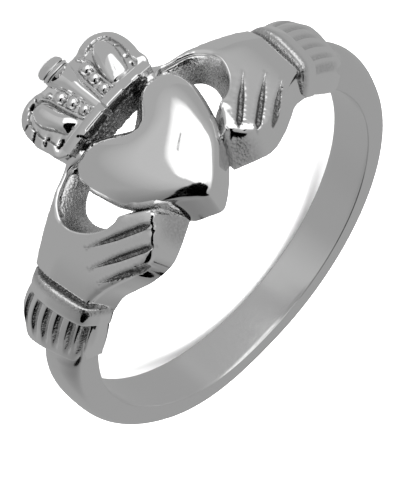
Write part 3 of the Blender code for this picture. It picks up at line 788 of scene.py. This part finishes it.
# %% Sleeve sections
COLLAR_FROM, COLLAR_TO = 7.74, 8.70
CUFF_FROM, CUFF_TO = 8.55, 10.90
# The outer face along the finger, from the point's side to the crown's side. Columns: c, height over the hole.
COLLAR_PROFILE = (
    (-1.50, 0.004), (-1.46, 0.08), (-1.40, 0.34), (-1.30, 0.62), (-0.98, 1.12), (-0.50, 1.34), (0.20, 1.50),
    (0.90, 1.58), (1.55, 1.50), (2.02, 1.20), (2.20, 0.80), (2.18, 0.40), (2.10, 0.06), (2.04, 0.004),
)
CUFF_PROFILE = (
    (-1.50, 0.006), (-1.46, 0.08), (-1.40, 0.34), (-1.30, 0.62), (-0.98, 1.12), (-0.50, 1.34), (0.20, 1.50),
    (0.90, 1.64), (1.60, 1.66), (2.14, 1.38), (2.30, 0.90), (2.26, 0.40), (2.18, 0.06), (2.10, 0.006),
)
CUFF_FOLDS = (-1.05, -0.60, 0.02, 0.58, 1.14, 1.70)     # where the folds' channels lie
FOLD_HALF = 0.17
FOLD_DEPTH = 0.20
CUFF_FOLDED = {"right": 0.45, "left": 0.85}             # the right cuff's folds are worn down more
CUFF_HEM = 0.14                     # how far the cuff's end rounds over


def smooth_profile(rows, steps):
    """An open curve through the rows of a profile, evenly spaced."""
    rows = np.array(rows)
    padded = np.concatenate([[2 * rows[0] - rows[1]], rows, [2 * rows[-1] - rows[-2]]])
    fine = []
    for p0, p1, p2, p3 in zip(padded, padded[1:], padded[2:], padded[3:]):
        fine += [curve(t, p1, (p2 - p0) / 2, p2, (p3 - p1) / 2) for t in np.arange(12) / 12]
    fine = np.array(fine + [rows[-1]])
    run = np.concatenate([[0.0], np.cumsum(np.hypot(*np.diff(fine, axis=0).T))])
    even = np.linspace(0.0, run[-1], steps)
    return np.stack([np.interp(even, run, fine[:, 0]), np.interp(even, run, fine[:, 1])], axis=1)


def sleeve(name, side, profile, rows, folds):
    """A sleeve swept along the arm. rows: s, lift of the outer face, width factor, depth of the folds, recess.

    The last number is left out where the sleeve is clean.
    """
    face = smooth_profile(profile, 150)
    c, height = face[:, 0], face[:, 1]
    raised = smoothstep(0.4, 1.1, height)
    away = np.min(np.abs(c[:, None] - np.array(folds)[None]), axis=1)
    channel = (1.0 - smoothstep(0.35 * FOLD_HALF, FOLD_HALF, away)) * smoothstep(0.55, 0.8, height)
    bottom_c = np.linspace(c[-1], c[0], 24)[1:-1]
    rings, recess = [], []
    for s, lift, narrow, fold, *skin in rows:
        top = wrap(np.full(len(c), side * s), c * narrow, HOLE_R + height + lift * raised - fold * channel)
        low = wrap(np.full(len(bottom_c), side * s), bottom_c * narrow, HOLE_R + height[0])
        ring = np.concatenate([top, low])
        dark = np.concatenate([channel * min(fold / FOLD_DEPTH * 0.7, 1.0), np.zeros(len(low))])
        dark = np.maximum(dark, skin[0] if skin else 0.0)
        rings.append(ring if side < 0 else ring[::-1])
        recess.append(dark if side < 0 else dark[::-1])
    return swept(name, rings, recess=recess, cast=np.array(recess) * 0.9)


# %% Both collars and both cuffs
def collar_rows():
    """The collar swells quickly at both ends, and is worn and dark where it meets the wrist."""
    middle, half = 0.5 * (COLLAR_FROM + COLLAR_TO), 0.5 * (COLLAR_TO - COLLAR_FROM)
    rows = [(COLLAR_FROM, -0.30, 0.96, 0.0, 0.8)]
    for turn in np.linspace(0.0, math.pi, 17):
        bulge = math.sin(turn) ** 0.35
        worn = 0.45 * float(1.0 - smoothstep(0.6, 1.5, turn))
        rows.append((middle - half * math.cos(turn), -0.10 + 0.30 * bulge, 0.98 + 0.05 * bulge, 0.0, worn))
    return rows + [(COLLAR_TO, -0.30, 0.96, 0.0)]


def cuff_rows(folded):
    """The cuff flares behind the collar, and its folds run out before its rounded end."""
    rows = [(CUFF_FROM - 0.4, -0.04, 0.96, 0.0)]
    for t in np.linspace(0.0, 1.0, 27):
        s = CUFF_FROM + (CUFF_TO - CUFF_FROM) * t
        lift = -0.02 + 0.20 * math.sin(math.pi * min(t * 0.85, 0.62)) - 0.06 * t
        width = 0.98 + 0.05 * math.sin(math.pi * min(t * 1.1, 1.0)) - 0.08 * t**2
        fold = folded * FOLD_DEPTH * float(smoothstep(0.0, 0.14, t) * (1.0 - smoothstep(0.55, 0.92, t)))
        rows.append((s, lift, width, fold))
    end = rows[-1]
    for k in range(1, 6):
        turn = math.pi / 2 * k / 5
        down = 1 - math.cos(turn)
        rows.append((end[0] + CUFF_HEM * math.sin(turn), end[1] - 0.16 * down, end[2] - 0.03 * down, 0.0))
    return rows + [(CUFF_TO + CUFF_HEM, -0.45, 0.86, 0.0)]


for side, label in SIDES:
    sleeve("collar_" + label, side, COLLAR_PROFILE, collar_rows(), CUFF_FOLDS)
    sleeve("cuff_" + label, side, CUFF_PROFILE, cuff_rows(CUFF_FOLDED[label]), CUFF_FOLDS)

# %% [markdown]
# ## The crown
# The crown is a plate with two round lobes, and its ornament was cut into the wax: two domed panels, ribs with
# beads between them, and a rim that is cut into small blocks on one side. All of it is one height field. Each
# form gives its height over the ground at every place, and the highest one wins, so the forms meet in crisp
# valleys as carved ones do. Places lower than their surroundings are found by averaging the height round them.

# %% The plate and its ground
# The right half, from the middle of its foot round to the middle of its top. Columns: s, c, foot s, foot c.
CROWN_HALF = (
    (0.00, 3.30, 0.00, 3.10),
    (2.55, 3.30, 2.60, 3.10, CORNER),
    (2.95, 3.72, 3.05, 3.66),
    (3.02, 4.32, 3.12, 4.30),
    (3.18, 4.92, 3.28, 4.92),
    (3.26, 5.50, 3.38, 5.52),
    (3.17, 6.12, 3.29, 6.16),
    (2.78, 6.60, 2.87, 6.68),
    (2.22, 6.80, 2.26, 6.92),
    (1.62, 6.74, 1.62, 6.86),
    (1.00, 6.56, 1.00, 6.66),
    (0.00, 6.60, 0.00, 6.70),
)
CROWN_SPREAD = 0.18                 # how much wider the crown's left side is near its foot


def mirrored(half):
    """A whole outline from its right half, which starts and ends on the middle line."""
    return list(half) + [(-row[0], row[1], -row[2], *row[3:]) for row in half[1:-1]][::-1]


def crown_rows():
    """The whole outline, a little wider on the left near its foot."""
    rows = []
    for s, c, foot_s, foot_c, *mark in mirrored(CROWN_HALF):
        spread = CROWN_SPREAD * float((1.0 - smoothstep(4.6, 5.8, c)) * smoothstep(0.0, 2.5, -s))
        rows.append((s - spread, c, foot_s - spread, foot_c, *mark))
    return rows


def crown_ground(c):
    """The height of the ground that the crown's ornament stands on: it falls from the bar to the lobes."""
    return HOLE_R + 1.10 - 0.15 * (c - 3.4)


# %% Smooth tables
def curve_table(rows, steps):
    """Rows of a table at even steps, on a smooth curve through them."""
    rows = np.array(rows)
    at = np.linspace(rows[0, 0], rows[-1, 0], steps)
    columns = [[read_smooth(rows[:, 0], values, x) for x in at] for values in rows[:, 1:].T]
    return np.stack([at, *columns], axis=1)


def read_smooth(xs, values, x):
    """The value of a table at x, on a curve whose slope at each row comes from the rows beside it."""
    slopes = np.gradient(values, xs)
    i = int(np.clip(np.searchsorted(xs, x) - 1, 0, len(xs) - 2))
    h = xs[i + 1] - xs[i]
    return float(curve((x - xs[i]) / h, values[i], h * slopes[i], values[i + 1], h * slopes[i + 1]))


# %% The forms on the crown
# The panels, right and left. Columns: c, middle s, half width, rise.
PANELS = (
    (
        (3.84, 1.46, 0.30, 0.02), (3.92, 1.47, 0.42, 0.13), (4.06, 1.50, 0.50, 0.20), (4.30, 1.56, 0.57, 0.28),
        (4.60, 1.64, 0.61, 0.36), (4.98, 1.76, 0.63, 0.43), (5.38, 1.89, 0.60, 0.45), (5.75, 2.00, 0.49, 0.41),
        (5.98, 2.05, 0.34, 0.35), (6.10, 2.07, 0.19, 0.28), (6.16, 2.08, 0.04, 0.14),
    ),
    (
        (3.92, -1.64, 0.32, 0.02), (4.02, -1.65, 0.40, 0.11), (4.16, -1.66, 0.43, 0.22), (4.30, -1.69, 0.44, 0.31),
        (4.60, -1.77, 0.46, 0.40), (5.00, -1.88, 0.51, 0.45), (5.50, -1.96, 0.54, 0.47), (5.82, -1.98, 0.46, 0.44),
        (6.02, -1.98, 0.30, 0.37), (6.12, -1.98, 0.06, 0.18),
    ),
)
PANEL_LINE = 0.055                  # half width of the dark line round each panel
# Beads. Columns: s, c, radius.
BEADS = (
    (-0.93, 5.50, 0.33), (-0.77, 4.82, 0.31), (-0.68, 4.08, 0.27), (-1.17, 6.06, 0.14),
    (0.84, 5.52, 0.33), (0.71, 4.84, 0.31), (0.57, 4.08, 0.27), (1.12, 6.10, 0.12),
)
BEAD_RISE = 0.95                    # the beads' height as a share of their radius
# Ribs: half width, rise, and the places they run through.
RIBS = (
    (0.075, 0.13, ((-1.56, 6.34), (-1.34, 5.90), (-1.25, 5.40), (-1.20, 4.90), (-1.12, 4.40), (-1.00, 3.80))),
    (0.075, 0.13, ((0.98, 6.26), (1.12, 5.90), (1.18, 5.60), (1.02, 5.10), (0.92, 4.60), (0.86, 3.80))),
    (0.080, 0.15, ((0.46, 5.75), (0.36, 5.30), (0.30, 4.85), (0.26, 4.40), (0.22, 3.80))),
    (0.060, 0.08, ((-0.60, 5.95), (-0.50, 5.40), (-0.46, 4.90), (-0.42, 4.40), (-0.38, 3.80))),
)
# The rim: its width, its rise at the outline and at its inner edge, and how fast it falls to the valley inside.
RIM_WIDTH, RIM_OUTER, RIM_INNER, RIM_FALL = 0.54, 0.06, 0.19, 0.10
# Cuts in the rim. Columns: s, c, length, half width, depth, turn in degrees.
RIM_CUTS = (
    (-3.06, 5.36, 0.40, 0.045, 0.28, 18), (-2.84, 4.66, 0.32, 0.055, 0.28, 24), (-2.52, 3.98, 0.32, 0.070, 0.28, 14),
    (-2.98, 6.02, 0.42, 0.030, 0.16, -8), (-2.06, 6.40, 0.22, 0.065, 0.22, 4), (-1.72, 6.42, 0.12, 0.050, 0.12, 60),
    (2.66, 5.46, 0.20, 0.035, 0.10, 120), (2.48, 4.56, 0.08, 0.045, 0.14, 0), (2.30, 3.98, 0.14, 0.040, 0.10, 70),
    (2.62, 6.12, 0.22, 0.030, 0.08, 140),
)
CUT_REACH = 0.30                    # how far each rim cut rounds over the block beside it


def to_line(points, places):
    """The distance of each point from a line through places."""
    nearest = np.full(len(points), 1e9)
    for start, end in zip(places, places[1:]):
        way = np.subtract(end, start)
        t = np.clip((points - start) @ way / (way @ way), 0.0, 1.0)
        nearest = np.minimum(nearest, np.hypot(*(points - start - t[:, None] * way).T))
    return nearest


def arch(away, half, rise):
    """A half-round section: its rise in the middle, falling to nothing at its half width."""
    return rise * np.sqrt(np.clip(1.0 - (away / np.maximum(half, TINY)) ** 2, 0.0, 1.0))


def cut_line(s, c, length, turn):
    """The two ends of a cut in the rim."""
    way = 0.5 * length * np.array([math.cos(math.radians(turn)), math.sin(math.radians(turn))])
    return (np.array([s, c]) - way, np.array([s, c]) + way)


PANEL_CURVES = []
for panel in PANELS:
    fine = curve_table(panel, 80)
    PANEL_CURVES.append((fine[:, 0], fine[:, 1], np.maximum(fine[:, 2], 0.0), np.maximum(fine[:, 3], 0.0)))
RIB_LINES = [(half, rise, smooth_profile(places, 14)) for half, rise, places in RIBS]
CROWN_LOOP = outline(crown_rows(), 0.12)[:, :2]


def crown_relief(s, c):
    """The crown's outer face with everything on it."""
    points = np.stack([s, c], axis=1)
    rise = np.zeros(len(points))
    for half, tall, line in RIB_LINES:
        rise = np.maximum(rise, arch(to_line(points, line), half, tall))
    for bead_s, bead_c, radius in BEADS:
        rise = np.maximum(rise, arch(np.hypot(s - bead_s, c - bead_c), radius, radius * BEAD_RISE))
    for at, middle, half, tall in PANEL_CURVES:
        domed = arch(s - np.interp(c, at, middle), np.interp(c, at, half), np.interp(c, at, tall))
        rise = np.maximum(rise, domed * (c > at[0]) * (c < at[-1]))
    edge = edge_distance(points, CROWN_LOOP)
    on_lobe = smoothstep(1.25, 1.55, np.abs(s))
    rim = RIM_OUTER + (RIM_INNER - RIM_OUTER) * np.clip(edge / RIM_WIDTH, 0.0, 1.0)
    rim = rim * on_lobe * (1.0 - smoothstep(RIM_WIDTH - RIM_FALL, RIM_WIDTH, edge)) * smoothstep(3.66, 4.0, c)
    for cut_s, cut_c, length, half, deep, turn in RIM_CUTS:
        away = to_line(points, cut_line(cut_s, cut_c, length, turn))
        rim = rim - deep * (1.0 - smoothstep(0.5 * half, 1.4 * half, away))
        rim = rim - 0.25 * deep * (1.0 - smoothstep(half, CUT_REACH, away)) ** 2
    rise = np.where(rise > 0.0, np.maximum(rise, rim), rim)
    return crown_ground(c) + rise


# %% [markdown]
# Tarnish gathers where a polishing cloth doesn't reach. Those places needn't be painted: they lie lower than their
# surroundings, so the height field itself can be asked for them. The deep cuts in the rim are darker still.

# %% Dark valleys, and the crown itself
HOLLOW_REACH = 0.06                 # how far round a place its surroundings are measured
HOLLOW_DEPTH = 0.035                # how much lower than them a place must be to be quite dark


def hollows(height, s, c):
    """How deep each place lies in a hollow: 0 on open ground, 1 in a valley or a cut."""
    around = np.arange(8) * math.pi / 4
    ring = [height(s + HOLLOW_REACH * math.cos(a), c + HOLLOW_REACH * math.sin(a)) for a in around]
    return np.clip((np.mean(ring, axis=0) - height(s, c)) / HOLLOW_DEPTH, 0.0, 1.0)


def crown_carve(s, c):
    """Nothing more is cut here, but the valleys and the panels' outlines are dark and the rim's cuts black."""
    points = np.stack([s, c], axis=1)
    black = np.zeros(len(s))
    for cut_s, cut_c, length, half, deep, turn in RIM_CUTS:
        away = to_line(points, cut_line(cut_s, cut_c, length, turn))
        black = np.maximum(black, 2.0 * smoothstep(0.08, 0.22, deep) * (1.0 - smoothstep(half, 1.3 * half, away)))
    for at, middle, half, tall in PANEL_CURVES:
        from_edge = np.abs(np.abs(s - np.interp(c, at, middle)) - np.interp(c, at, half))
        line = 0.75 * (1.0 - smoothstep(0.4 * PANEL_LINE, PANEL_LINE, from_edge)) * (c > at[0]) * (c < at[-1])
        black = np.maximum(black, line)
    return np.zeros(len(s)), np.maximum(0.8 * hollows(crown_relief, s, c), black)


def foot_dark(s, c, share):
    """The crown's wall is dark at its foot, behind the bar."""
    return 0.9 * (c < 3.45)


relief(
    "crown_plate", crown_rows(), crown_relief, 0.12, 0.05, HOLE_R + 0.006, foot_dark,
    carve=crown_carve, rough=0.03, skin=0.12,
)

# %% [markdown]
# ## The bar at the crown's foot
# A plain bar closes the crown towards the heart, and its far side hangs over the third gap. A cube with a bevel
# would look too clean, because its lower edge is sharp in some places, worn round in others and nicked twice. So
# it is swept across the head through many sections, and each asks three short tables how it is there.

# %% The bar's sections
# Its section along the finger. Columns: c, height over the hole.
CROWN_BAR = (
    (2.76, 0.004), (2.80, 0.10), (3.12, 1.14), (3.155, 1.24), (3.20, 1.30), (3.26, 1.315), (3.40, 1.28), (3.54, 1.24),
    (3.645, 1.205), (3.66, 1.19), (3.664, 1.12), (3.664, 0.60), (3.664, 0.004),
)
CROWN_BAR_HALF = 2.62
CROWN_BAR_SECTIONS = 221
# Notches in the bar's lower edge. Columns: s at the edge, s at the far end, c at the far end, half width, depth.
BAR_NOTCHES = ((-1.52, -1.78, 3.36, 0.055, 0.24), (-0.10, -0.02, 3.60, 0.05, 0.05))
# Where its lower edge is worn round and carries a thin painted dark reflection just below it, and where it is pitted
# below. Columns: middle s, half length.
BAR_WORN = ((-0.85, 0.55), (0.50, 0.50), (1.72, 0.20))
BAR_PITS = ((-2.12, 0.30), (1.42, 0.18))
BAR_CORNER = np.array([3.125, 1.335])   # c and height of the lower edge where it is sharp
BAR_SHARP = 0.2                     # the share of the edge's rounding that is left where it isn't worn


def stretches(s, rows):
    """1 where s lies in one of the stretches, 0 outside them."""
    return max(float(1.0 - smoothstep(half - 0.06, half + 0.06, abs(s - middle))) for middle, half in rows)


def make_bar():
    """Sweeps the section along the foot: notches are sunk in, and the wall below is rough and dark."""
    face = smooth_profile(CROWN_BAR, 100)
    rings, recess = [], []
    for s in np.linspace(-CROWN_BAR_HALF, CROWN_BAR_HALF, CROWN_BAR_SECTIONS):
        wall = smoothstep(3.15, 3.02, face[:, 0])
        worn, pitted = stretches(s, BAR_WORN), stretches(s, BAR_PITS)
        near = 1.0 - smoothstep(0.14, 0.30, np.hypot(*(face - BAR_CORNER).T))
        moved = face + (BAR_CORNER - face) * ((1.0 - BAR_SHARP) * (1.0 - worn) * near)[:, None]
        points = np.stack([np.full(len(face), s), moved[:, 0]], axis=1)
        sunk = np.zeros(len(face))
        for edge_s, far_s, far_c, half, deep in BAR_NOTCHES:
            away = to_line(points, (np.array([edge_s, 2.9]), np.array([far_s, far_c])))
            sunk = np.maximum(sunk, deep * (1.0 - smoothstep(0.4 * half, half, away)))
        sunk = sunk * smoothstep(0.9, 1.2, face[:, 1])
        ring = wrap(points[:, 0], points[:, 1], HOLE_R + moved[:, 1] - sunk)
        rings.append(roughened(ring, 0.05 * wall))
        # painted dark reflection: a thin dark line just below the rounded lower edge, along its worn stretches
        line = worn * (1.0 - smoothstep(0.03, 0.07, np.abs(face[:, 0] - 3.09)))
        pit = pitted * wall * smoothstep(0.45, 0.65, face[:, 1])
        recess.append(np.clip(0.85 * wall + sunk / 0.10 + line + pit, 0.0, 2.0))
    return swept("crown_bar", rings, recess=recess, cast=recess)


make_bar()

# %% [markdown]
# ## The ridge and the finial
# Between the lobes stands a ridge that widens upward like a trumpet. Its lip carries the finial, a flattened knob
# parted from the lip by two worn grooves. Both are round in section, so both are swept along the crown's middle.

# %% The ridge and the finial
# Columns: c, middle s, half width, height over the ground.
RIDGE_ROWS = (
    (3.50, -0.14, 0.19, 0.03), (4.00, -0.13, 0.23, 0.10), (4.50, -0.12, 0.29, 0.18), (5.00, -0.11, 0.35, 0.27),
    (5.50, -0.08, 0.45, 0.35), (5.90, -0.07, 0.55, 0.37), (6.20, -0.08, 0.64, 0.40), (6.45, -0.10, 0.69, 0.47),
    (6.62, -0.12, 0.69, 0.49),
)
RIDGE_SUNK = 0.03                   # how deep the foot of its arch lies in the ground
# A flattened barrel. Columns: distance along its axis, half width, half height.
FINIAL_ROWS = (
    (0.00, 0.62, 0.44), (0.05, 0.60, 0.42), (0.09, 0.58, 0.40), (0.13, 0.63, 0.44), (0.19, 0.665, 0.47),
    (0.26, 0.675, 0.475), (0.33, 0.66, 0.46), (0.38, 0.59, 0.36), (0.44, 0.64, 0.44), (0.52, 0.65, 0.47),
    (0.64, 0.65, 0.465), (0.78, 0.60, 0.44),
    (0.89, 0.54, 0.38), (0.97, 0.42, 0.30), (1.02, 0.26, 0.19), (1.05, 0.10, 0.07),
)
FINIAL_FOOT = (-0.12, 6.38, 0.84)   # s, c and height over the hole where the finial's axis starts
FINIAL_SLOPE = math.radians(15.0)
FINIAL_LEAN = math.radians(26.0)    # how far its rings lean back
FINIAL_UNDER = 0.45                 # how tall its underside is, as a share of its upper side
FINIAL_GROOVES = (0.09, 0.38)       # where its two dark grooves run
FINIAL_GROOVE_HALF = 0.05


def make_ridge():
    """An arch along the crown's middle that widens and rises towards its lip."""
    rings = []
    turn = np.linspace(0.0, math.pi, 33)
    for c, middle, half, tall in curve_table(RIDGE_ROWS, 60):
        ground = crown_ground(c)
        arch_line = wrap(middle - half * np.cos(turn), c, ground - RIDGE_SUNK + (tall + RIDGE_SUNK) * np.sin(turn))
        foot = wrap(middle + np.array([half, -half]), c, ground - 0.5)
        rings.append(np.concatenate([arch_line, foot])[::-1])
    return swept("ridge", rings)


def make_finial():
    """Flattened rings along a sloping axis, leaning back so that the grooves look straight from the front."""
    rings, recess = [], []
    turn = np.arange(64) * 2 * math.pi / 64
    foot_s, foot_c, foot_height = FINIAL_FOOT
    for along, half_width, half_height in curve_table(FINIAL_ROWS, 110):
        x = foot_s + half_width * np.cos(turn)
        up = half_height * np.sin(turn) * np.where(np.sin(turn) > 0.0, 1.0, FINIAL_UNDER)
        y = foot_c + along * math.cos(FINIAL_SLOPE) - up * math.sin(FINIAL_LEAN)
        z = HOLE_R + foot_height - along * math.sin(FINIAL_SLOPE) + up * math.cos(FINIAL_LEAN)
        rings.append(np.stack([x, y, z], axis=1) * MM)
        dark = max(1.0 - abs(along - groove) / FINIAL_GROOVE_HALF for groove in FINIAL_GROOVES)
        recess.append(np.full(len(turn), 1.5 * max(dark, 0.0)))
    return swept("finial", rings, recess=recess)


make_ridge()
make_finial()

# %% [markdown]
# ## Floor and studio
# Polished silver has almost no colour of its own: it shows what stands around it. So the studio is the real
# finish of this ring. A grey room gives the calm middle tone, one soft box the white pool on the heart, and a
# black card the dark accents that a jeweller's photograph needs. The floor is plain and pale. Mirrors don't see it,
# because its white would drown those tones in everything that faces down.

# %% Floor
FLOOR_HALF = 1.5                    # metres


def make_floor():
    mesh = bpy.data.meshes.new("floor")
    corners = [(x * FLOOR_HALF, y * FLOOR_HALF, 0) for x, y in ((-1, -1), (1, -1), (1, 1), (-1, 1))]
    mesh.from_pydata(corners, [], [(0, 1, 2, 3)])
    material, tree = new_material("pale_floor")
    plain = {"Base Color": (0.86, 0.86, 0.86, 1.0), "Roughness": 0.9, "Specular IOR Level": 0.0}
    feed(tree, tree.nodes["Principled BSDF"], plain)
    mesh.materials.append(material)
    floor = placed("floor", mesh)
    floor.visible_glossy = False
    print("floor", 2 * FLOOR_HALF, "m wide")


make_floor()

# %% The room
ROOM_GREY = 0.38
# Where the walls are lighter or darker than that. Columns: azimuth, elevation, the cosines of the angles from there
# at which it starts and is full, and how much it adds.
ROOM_LIGHT = (
    (-107.0, 16.6, 0.377, 0.745, 0.169), (-148.0, 47.9, 0.929, 0.982, 0.254), (14.0, 23.4, 0.591, 0.978, -0.167),
)


def direction(azimuth, elevation):
    """The unit vector towards a place in the studio, given in degrees."""
    a, e = math.radians(azimuth), math.radians(elevation)
    return Vector((math.cos(e) * math.cos(a), math.cos(e) * math.sin(a), math.sin(e)))


def make_room():
    """A grey world: each wall adds its light where the direction is close enough to the wall's middle."""
    world = bpy.data.worlds.new("room")
    world.use_nodes = True
    tree = world.node_tree
    place = node(tree, "ShaderNodeTexCoord").outputs["Generated"]
    grey = ROOM_GREY
    for azimuth, elevation, start, full, amount in ROOM_LIGHT:
        sides = {0: place, 1: direction(azimuth, elevation)}
        towards = node(tree, "ShaderNodeVectorMath", sides, operation="DOT_PRODUCT").outputs["Value"]
        grey = combine(tree, "ADD", remap(tree, towards, start, full, 0.0, amount), grey)
    feed(tree, tree.nodes["Background"], {"Color": grey})
    bpy.context.scene.world = world
    print("room grey", ROOM_GREY, "with", len(ROOM_LIGHT), "lighter or darker places")


make_room()

# %% [markdown]
# The lamp and the black card are what the silver shows most clearly, so their outlines matter more than their
# distance. Each is a curved sheet round the ring, drawn as a table of azimuths with its lowest and highest
# elevation. The lamp's cloth fades out at its rim, and the cards are cut clean. A low grey card stands in the
# finger hole, below the head, and keeps the lamp out of the band's inside. A strip of grey paper in front of the
# lamp gives the thin dark slit in the heart's white pool. Only mirrors see these four. Two square lamps that no
# mirror sees light the floor.

# %% The outlines of lamp and cards
# Columns: azimuth, lowest elevation, highest elevation, in degrees round the ring.
LAMP_ROWS = (
    (-160, 36, 52), (-156, 8, 55), (-152, -8, 56), (-146, -18, 57), (-139, -25, 57), (-132, -28, 56),
    (-124, -25, 55), (-117, -19, 53), (-110, -13, 51), (-104, -8, 49), (-97, -3, 45), (-90, 2, 42),
    (-84, 7, 40), (-78, 12, 38), (-73, 19, 34),
)
CARD_ROWS = (
    (-117, 58, 60), (-108, 50, 61), (-100, 45, 62), (-90, 38, 63), (-78, 34, 63), (-69, 31.5, 63), (-60, 30.5, 63),
    (-45, 29.8, 63), (-30, 29.8, 63), (-14, 29.8, 63), (0, 27, 63), (10, 22, 63), (17, 19, 62), (26, 20, 62),
    (36, 26, 60), (48, 36, 56), (60, 42, 48),
)
LOW_CARD_ROWS = ((-175, -60, -19), (-90, -60, -19))
SLIT_ROWS = ((-119.5, -3.3, -2.1), (-103.5, 4.0, 5.2))
SHEET_CENTRE = Vector((0.0, 0.0, 0.006))
FADE = 0.12                         # share of a sheet's height over which its rim fades
SHEET_STEP = 2.0                    # degrees between two columns of a sheet


# %% Sheets that only mirrors see
def glow_material(name, brightness):
    """An even glow that thins out to clear where the number `level` on the mesh falls to 0."""
    material, tree = new_material(name)
    tree.nodes.remove(tree.nodes["Principled BSDF"])
    level = node(tree, "ShaderNodeAttribute", attribute_name="level").outputs["Fac"]
    clear = node(tree, "ShaderNodeBsdfTransparent").outputs[0]
    glow = node(tree, "ShaderNodeEmission", {"Strength": brightness}).outputs[0]
    mix = node(tree, "ShaderNodeMixShader", {0: level, 1: clear, 2: glow}).outputs[0]
    feed(tree, tree.nodes["Material Output"], {"Surface": mix})
    return material


def curved_sheet(name, rows, distance, brightness, fades=False):
    """A curved sheet round the ring, with its own brightness: 1 is paper white and 0 is black."""
    shares = np.array((0.0, FADE, 0.3, 0.5, 0.7, 1.0 - FADE, 1.0))
    azimuths = np.arange(rows[0][0], rows[-1][0] + 0.1, SHEET_STEP)
    low, high = (np.interp(azimuths, [row[0] for row in rows], [row[k] for row in rows]) for k in (1, 2))
    points, levels, faces = [], [], []
    across = len(shares)
    for i, azimuth in enumerate(azimuths):
        end = min(i, len(azimuths) - 1 - i) / 2.0
        for j, share in enumerate(shares):
            points.append(tuple(SHEET_CENTRE + direction(azimuth, low[i] + (high[i] - low[i]) * share) * distance))
            levels.append(min(1.0, end) if 0 < j < across - 1 else 0.0)
            if i and j:
                k = i * across + j
                faces.append((k - across - 1, k - across, k, k - 1))
    mesh = bpy.data.meshes.new(name)
    mesh.from_pydata(points, [], faces)
    store(mesh, "level", levels if fades else 1.0)
    mesh.materials.append(glow_material(name, brightness))
    sheet = placed(name, mesh)
    sheet.visible_camera = sheet.visible_diffuse = sheet.visible_shadow = False
    print(name, "spans azimuths", rows[0][0], "to", rows[-1][0])


curved_sheet("soft_box", LAMP_ROWS, 0.42, 1.25, fades=True)
curved_sheet("black_card", CARD_ROWS, 0.36, 0.0)
curved_sheet("low_card", LOW_CARD_ROWS, 0.016, 0.42)
curved_sheet("paper_slit", SLIT_ROWS, 0.40, 0.35)


# %% Lamps for the floor
def floor_light(name, way, distance, size, radiance):
    """A square lamp that no mirror sees. radiance is how bright its face is, with 1 as paper white."""
    lamp = bpy.data.lights.new(name, "AREA")
    lamp.shape = "SQUARE"
    lamp.size = size
    lamp.energy = radiance * math.pi * size**2
    made = placed(name, lamp)
    way = Vector(way).normalized()
    made.matrix_world = Matrix.Translation(way * distance) @ (-way).to_track_quat("-Z", "Y").to_matrix().to_4x4()
    made.visible_glossy = made.visible_camera = False
    print(name, round(lamp.energy, 2), "W")


floor_light("floor_lamp", (0.1, 0.2, 1.0), 0.6, 0.9, 6.0)
floor_light("front_lamp", (0.1, -1.0, 0.8), 0.7, 0.7, 5.0)

# %% [markdown]
# ## Camera
# The camera looks from below the heart's point at the upright ring, and the picture is turned so that the crown
# points to the upper left. Its place was fitted to the photograph in the ring's own frame, so it is given there
# and laid down with the ring. From the floor it then looks down at the ring at about 45 degrees.

# %% The camera
CAMERA_RIGHT = (0.6600, -0.7040, -0.2600)   # the picture's two directions, in the ring's own frame
CAMERA_UP = (0.7410, 0.5520, 0.3840)
CAMERA_DISTANCE = 92.02
LENS, SENSOR = 151.16, 36.0
SHIFT = (-0.04256, -0.00214)
NEAREST = 0.001                     # metres in front of the camera from which things are seen


def make_camera():
    """Looks at the finger hole's centre from CAMERA_DISTANCE, with the picture's two directions as given."""
    right = Vector(CAMERA_RIGHT).normalized()
    up = Vector(CAMERA_UP)
    up = (up - right * up.dot(right)).normalized()
    back = right.cross(up)
    place = Matrix((right, up, back)).transposed().to_4x4()
    place.translation = back * CAMERA_DISTANCE * MM
    data = bpy.data.cameras.new("camera")
    data.lens, data.sensor_width, data.sensor_fit = LENS, SENSOR, "AUTO"
    data.shift_x, data.shift_y = SHIFT
    data.clip_start = NEAREST
    camera = placed("camera", data)
    camera.matrix_world = LAID_DOWN @ place
    bpy.context.scene.camera = camera
    return camera


camera = make_camera()
bpy.context.scene.view_settings.view_transform = "Standard"
print("camera at", [round(v, 4) for v in camera.matrix_world.translation])

# %% [markdown]
# ## Counting the triangles
# The triangles of all pieces are counted and printed.

# %% Count the triangles
print("triangles:", sum(len(p.vertices) - 2 for made in pieces for p in made.data.polygons))
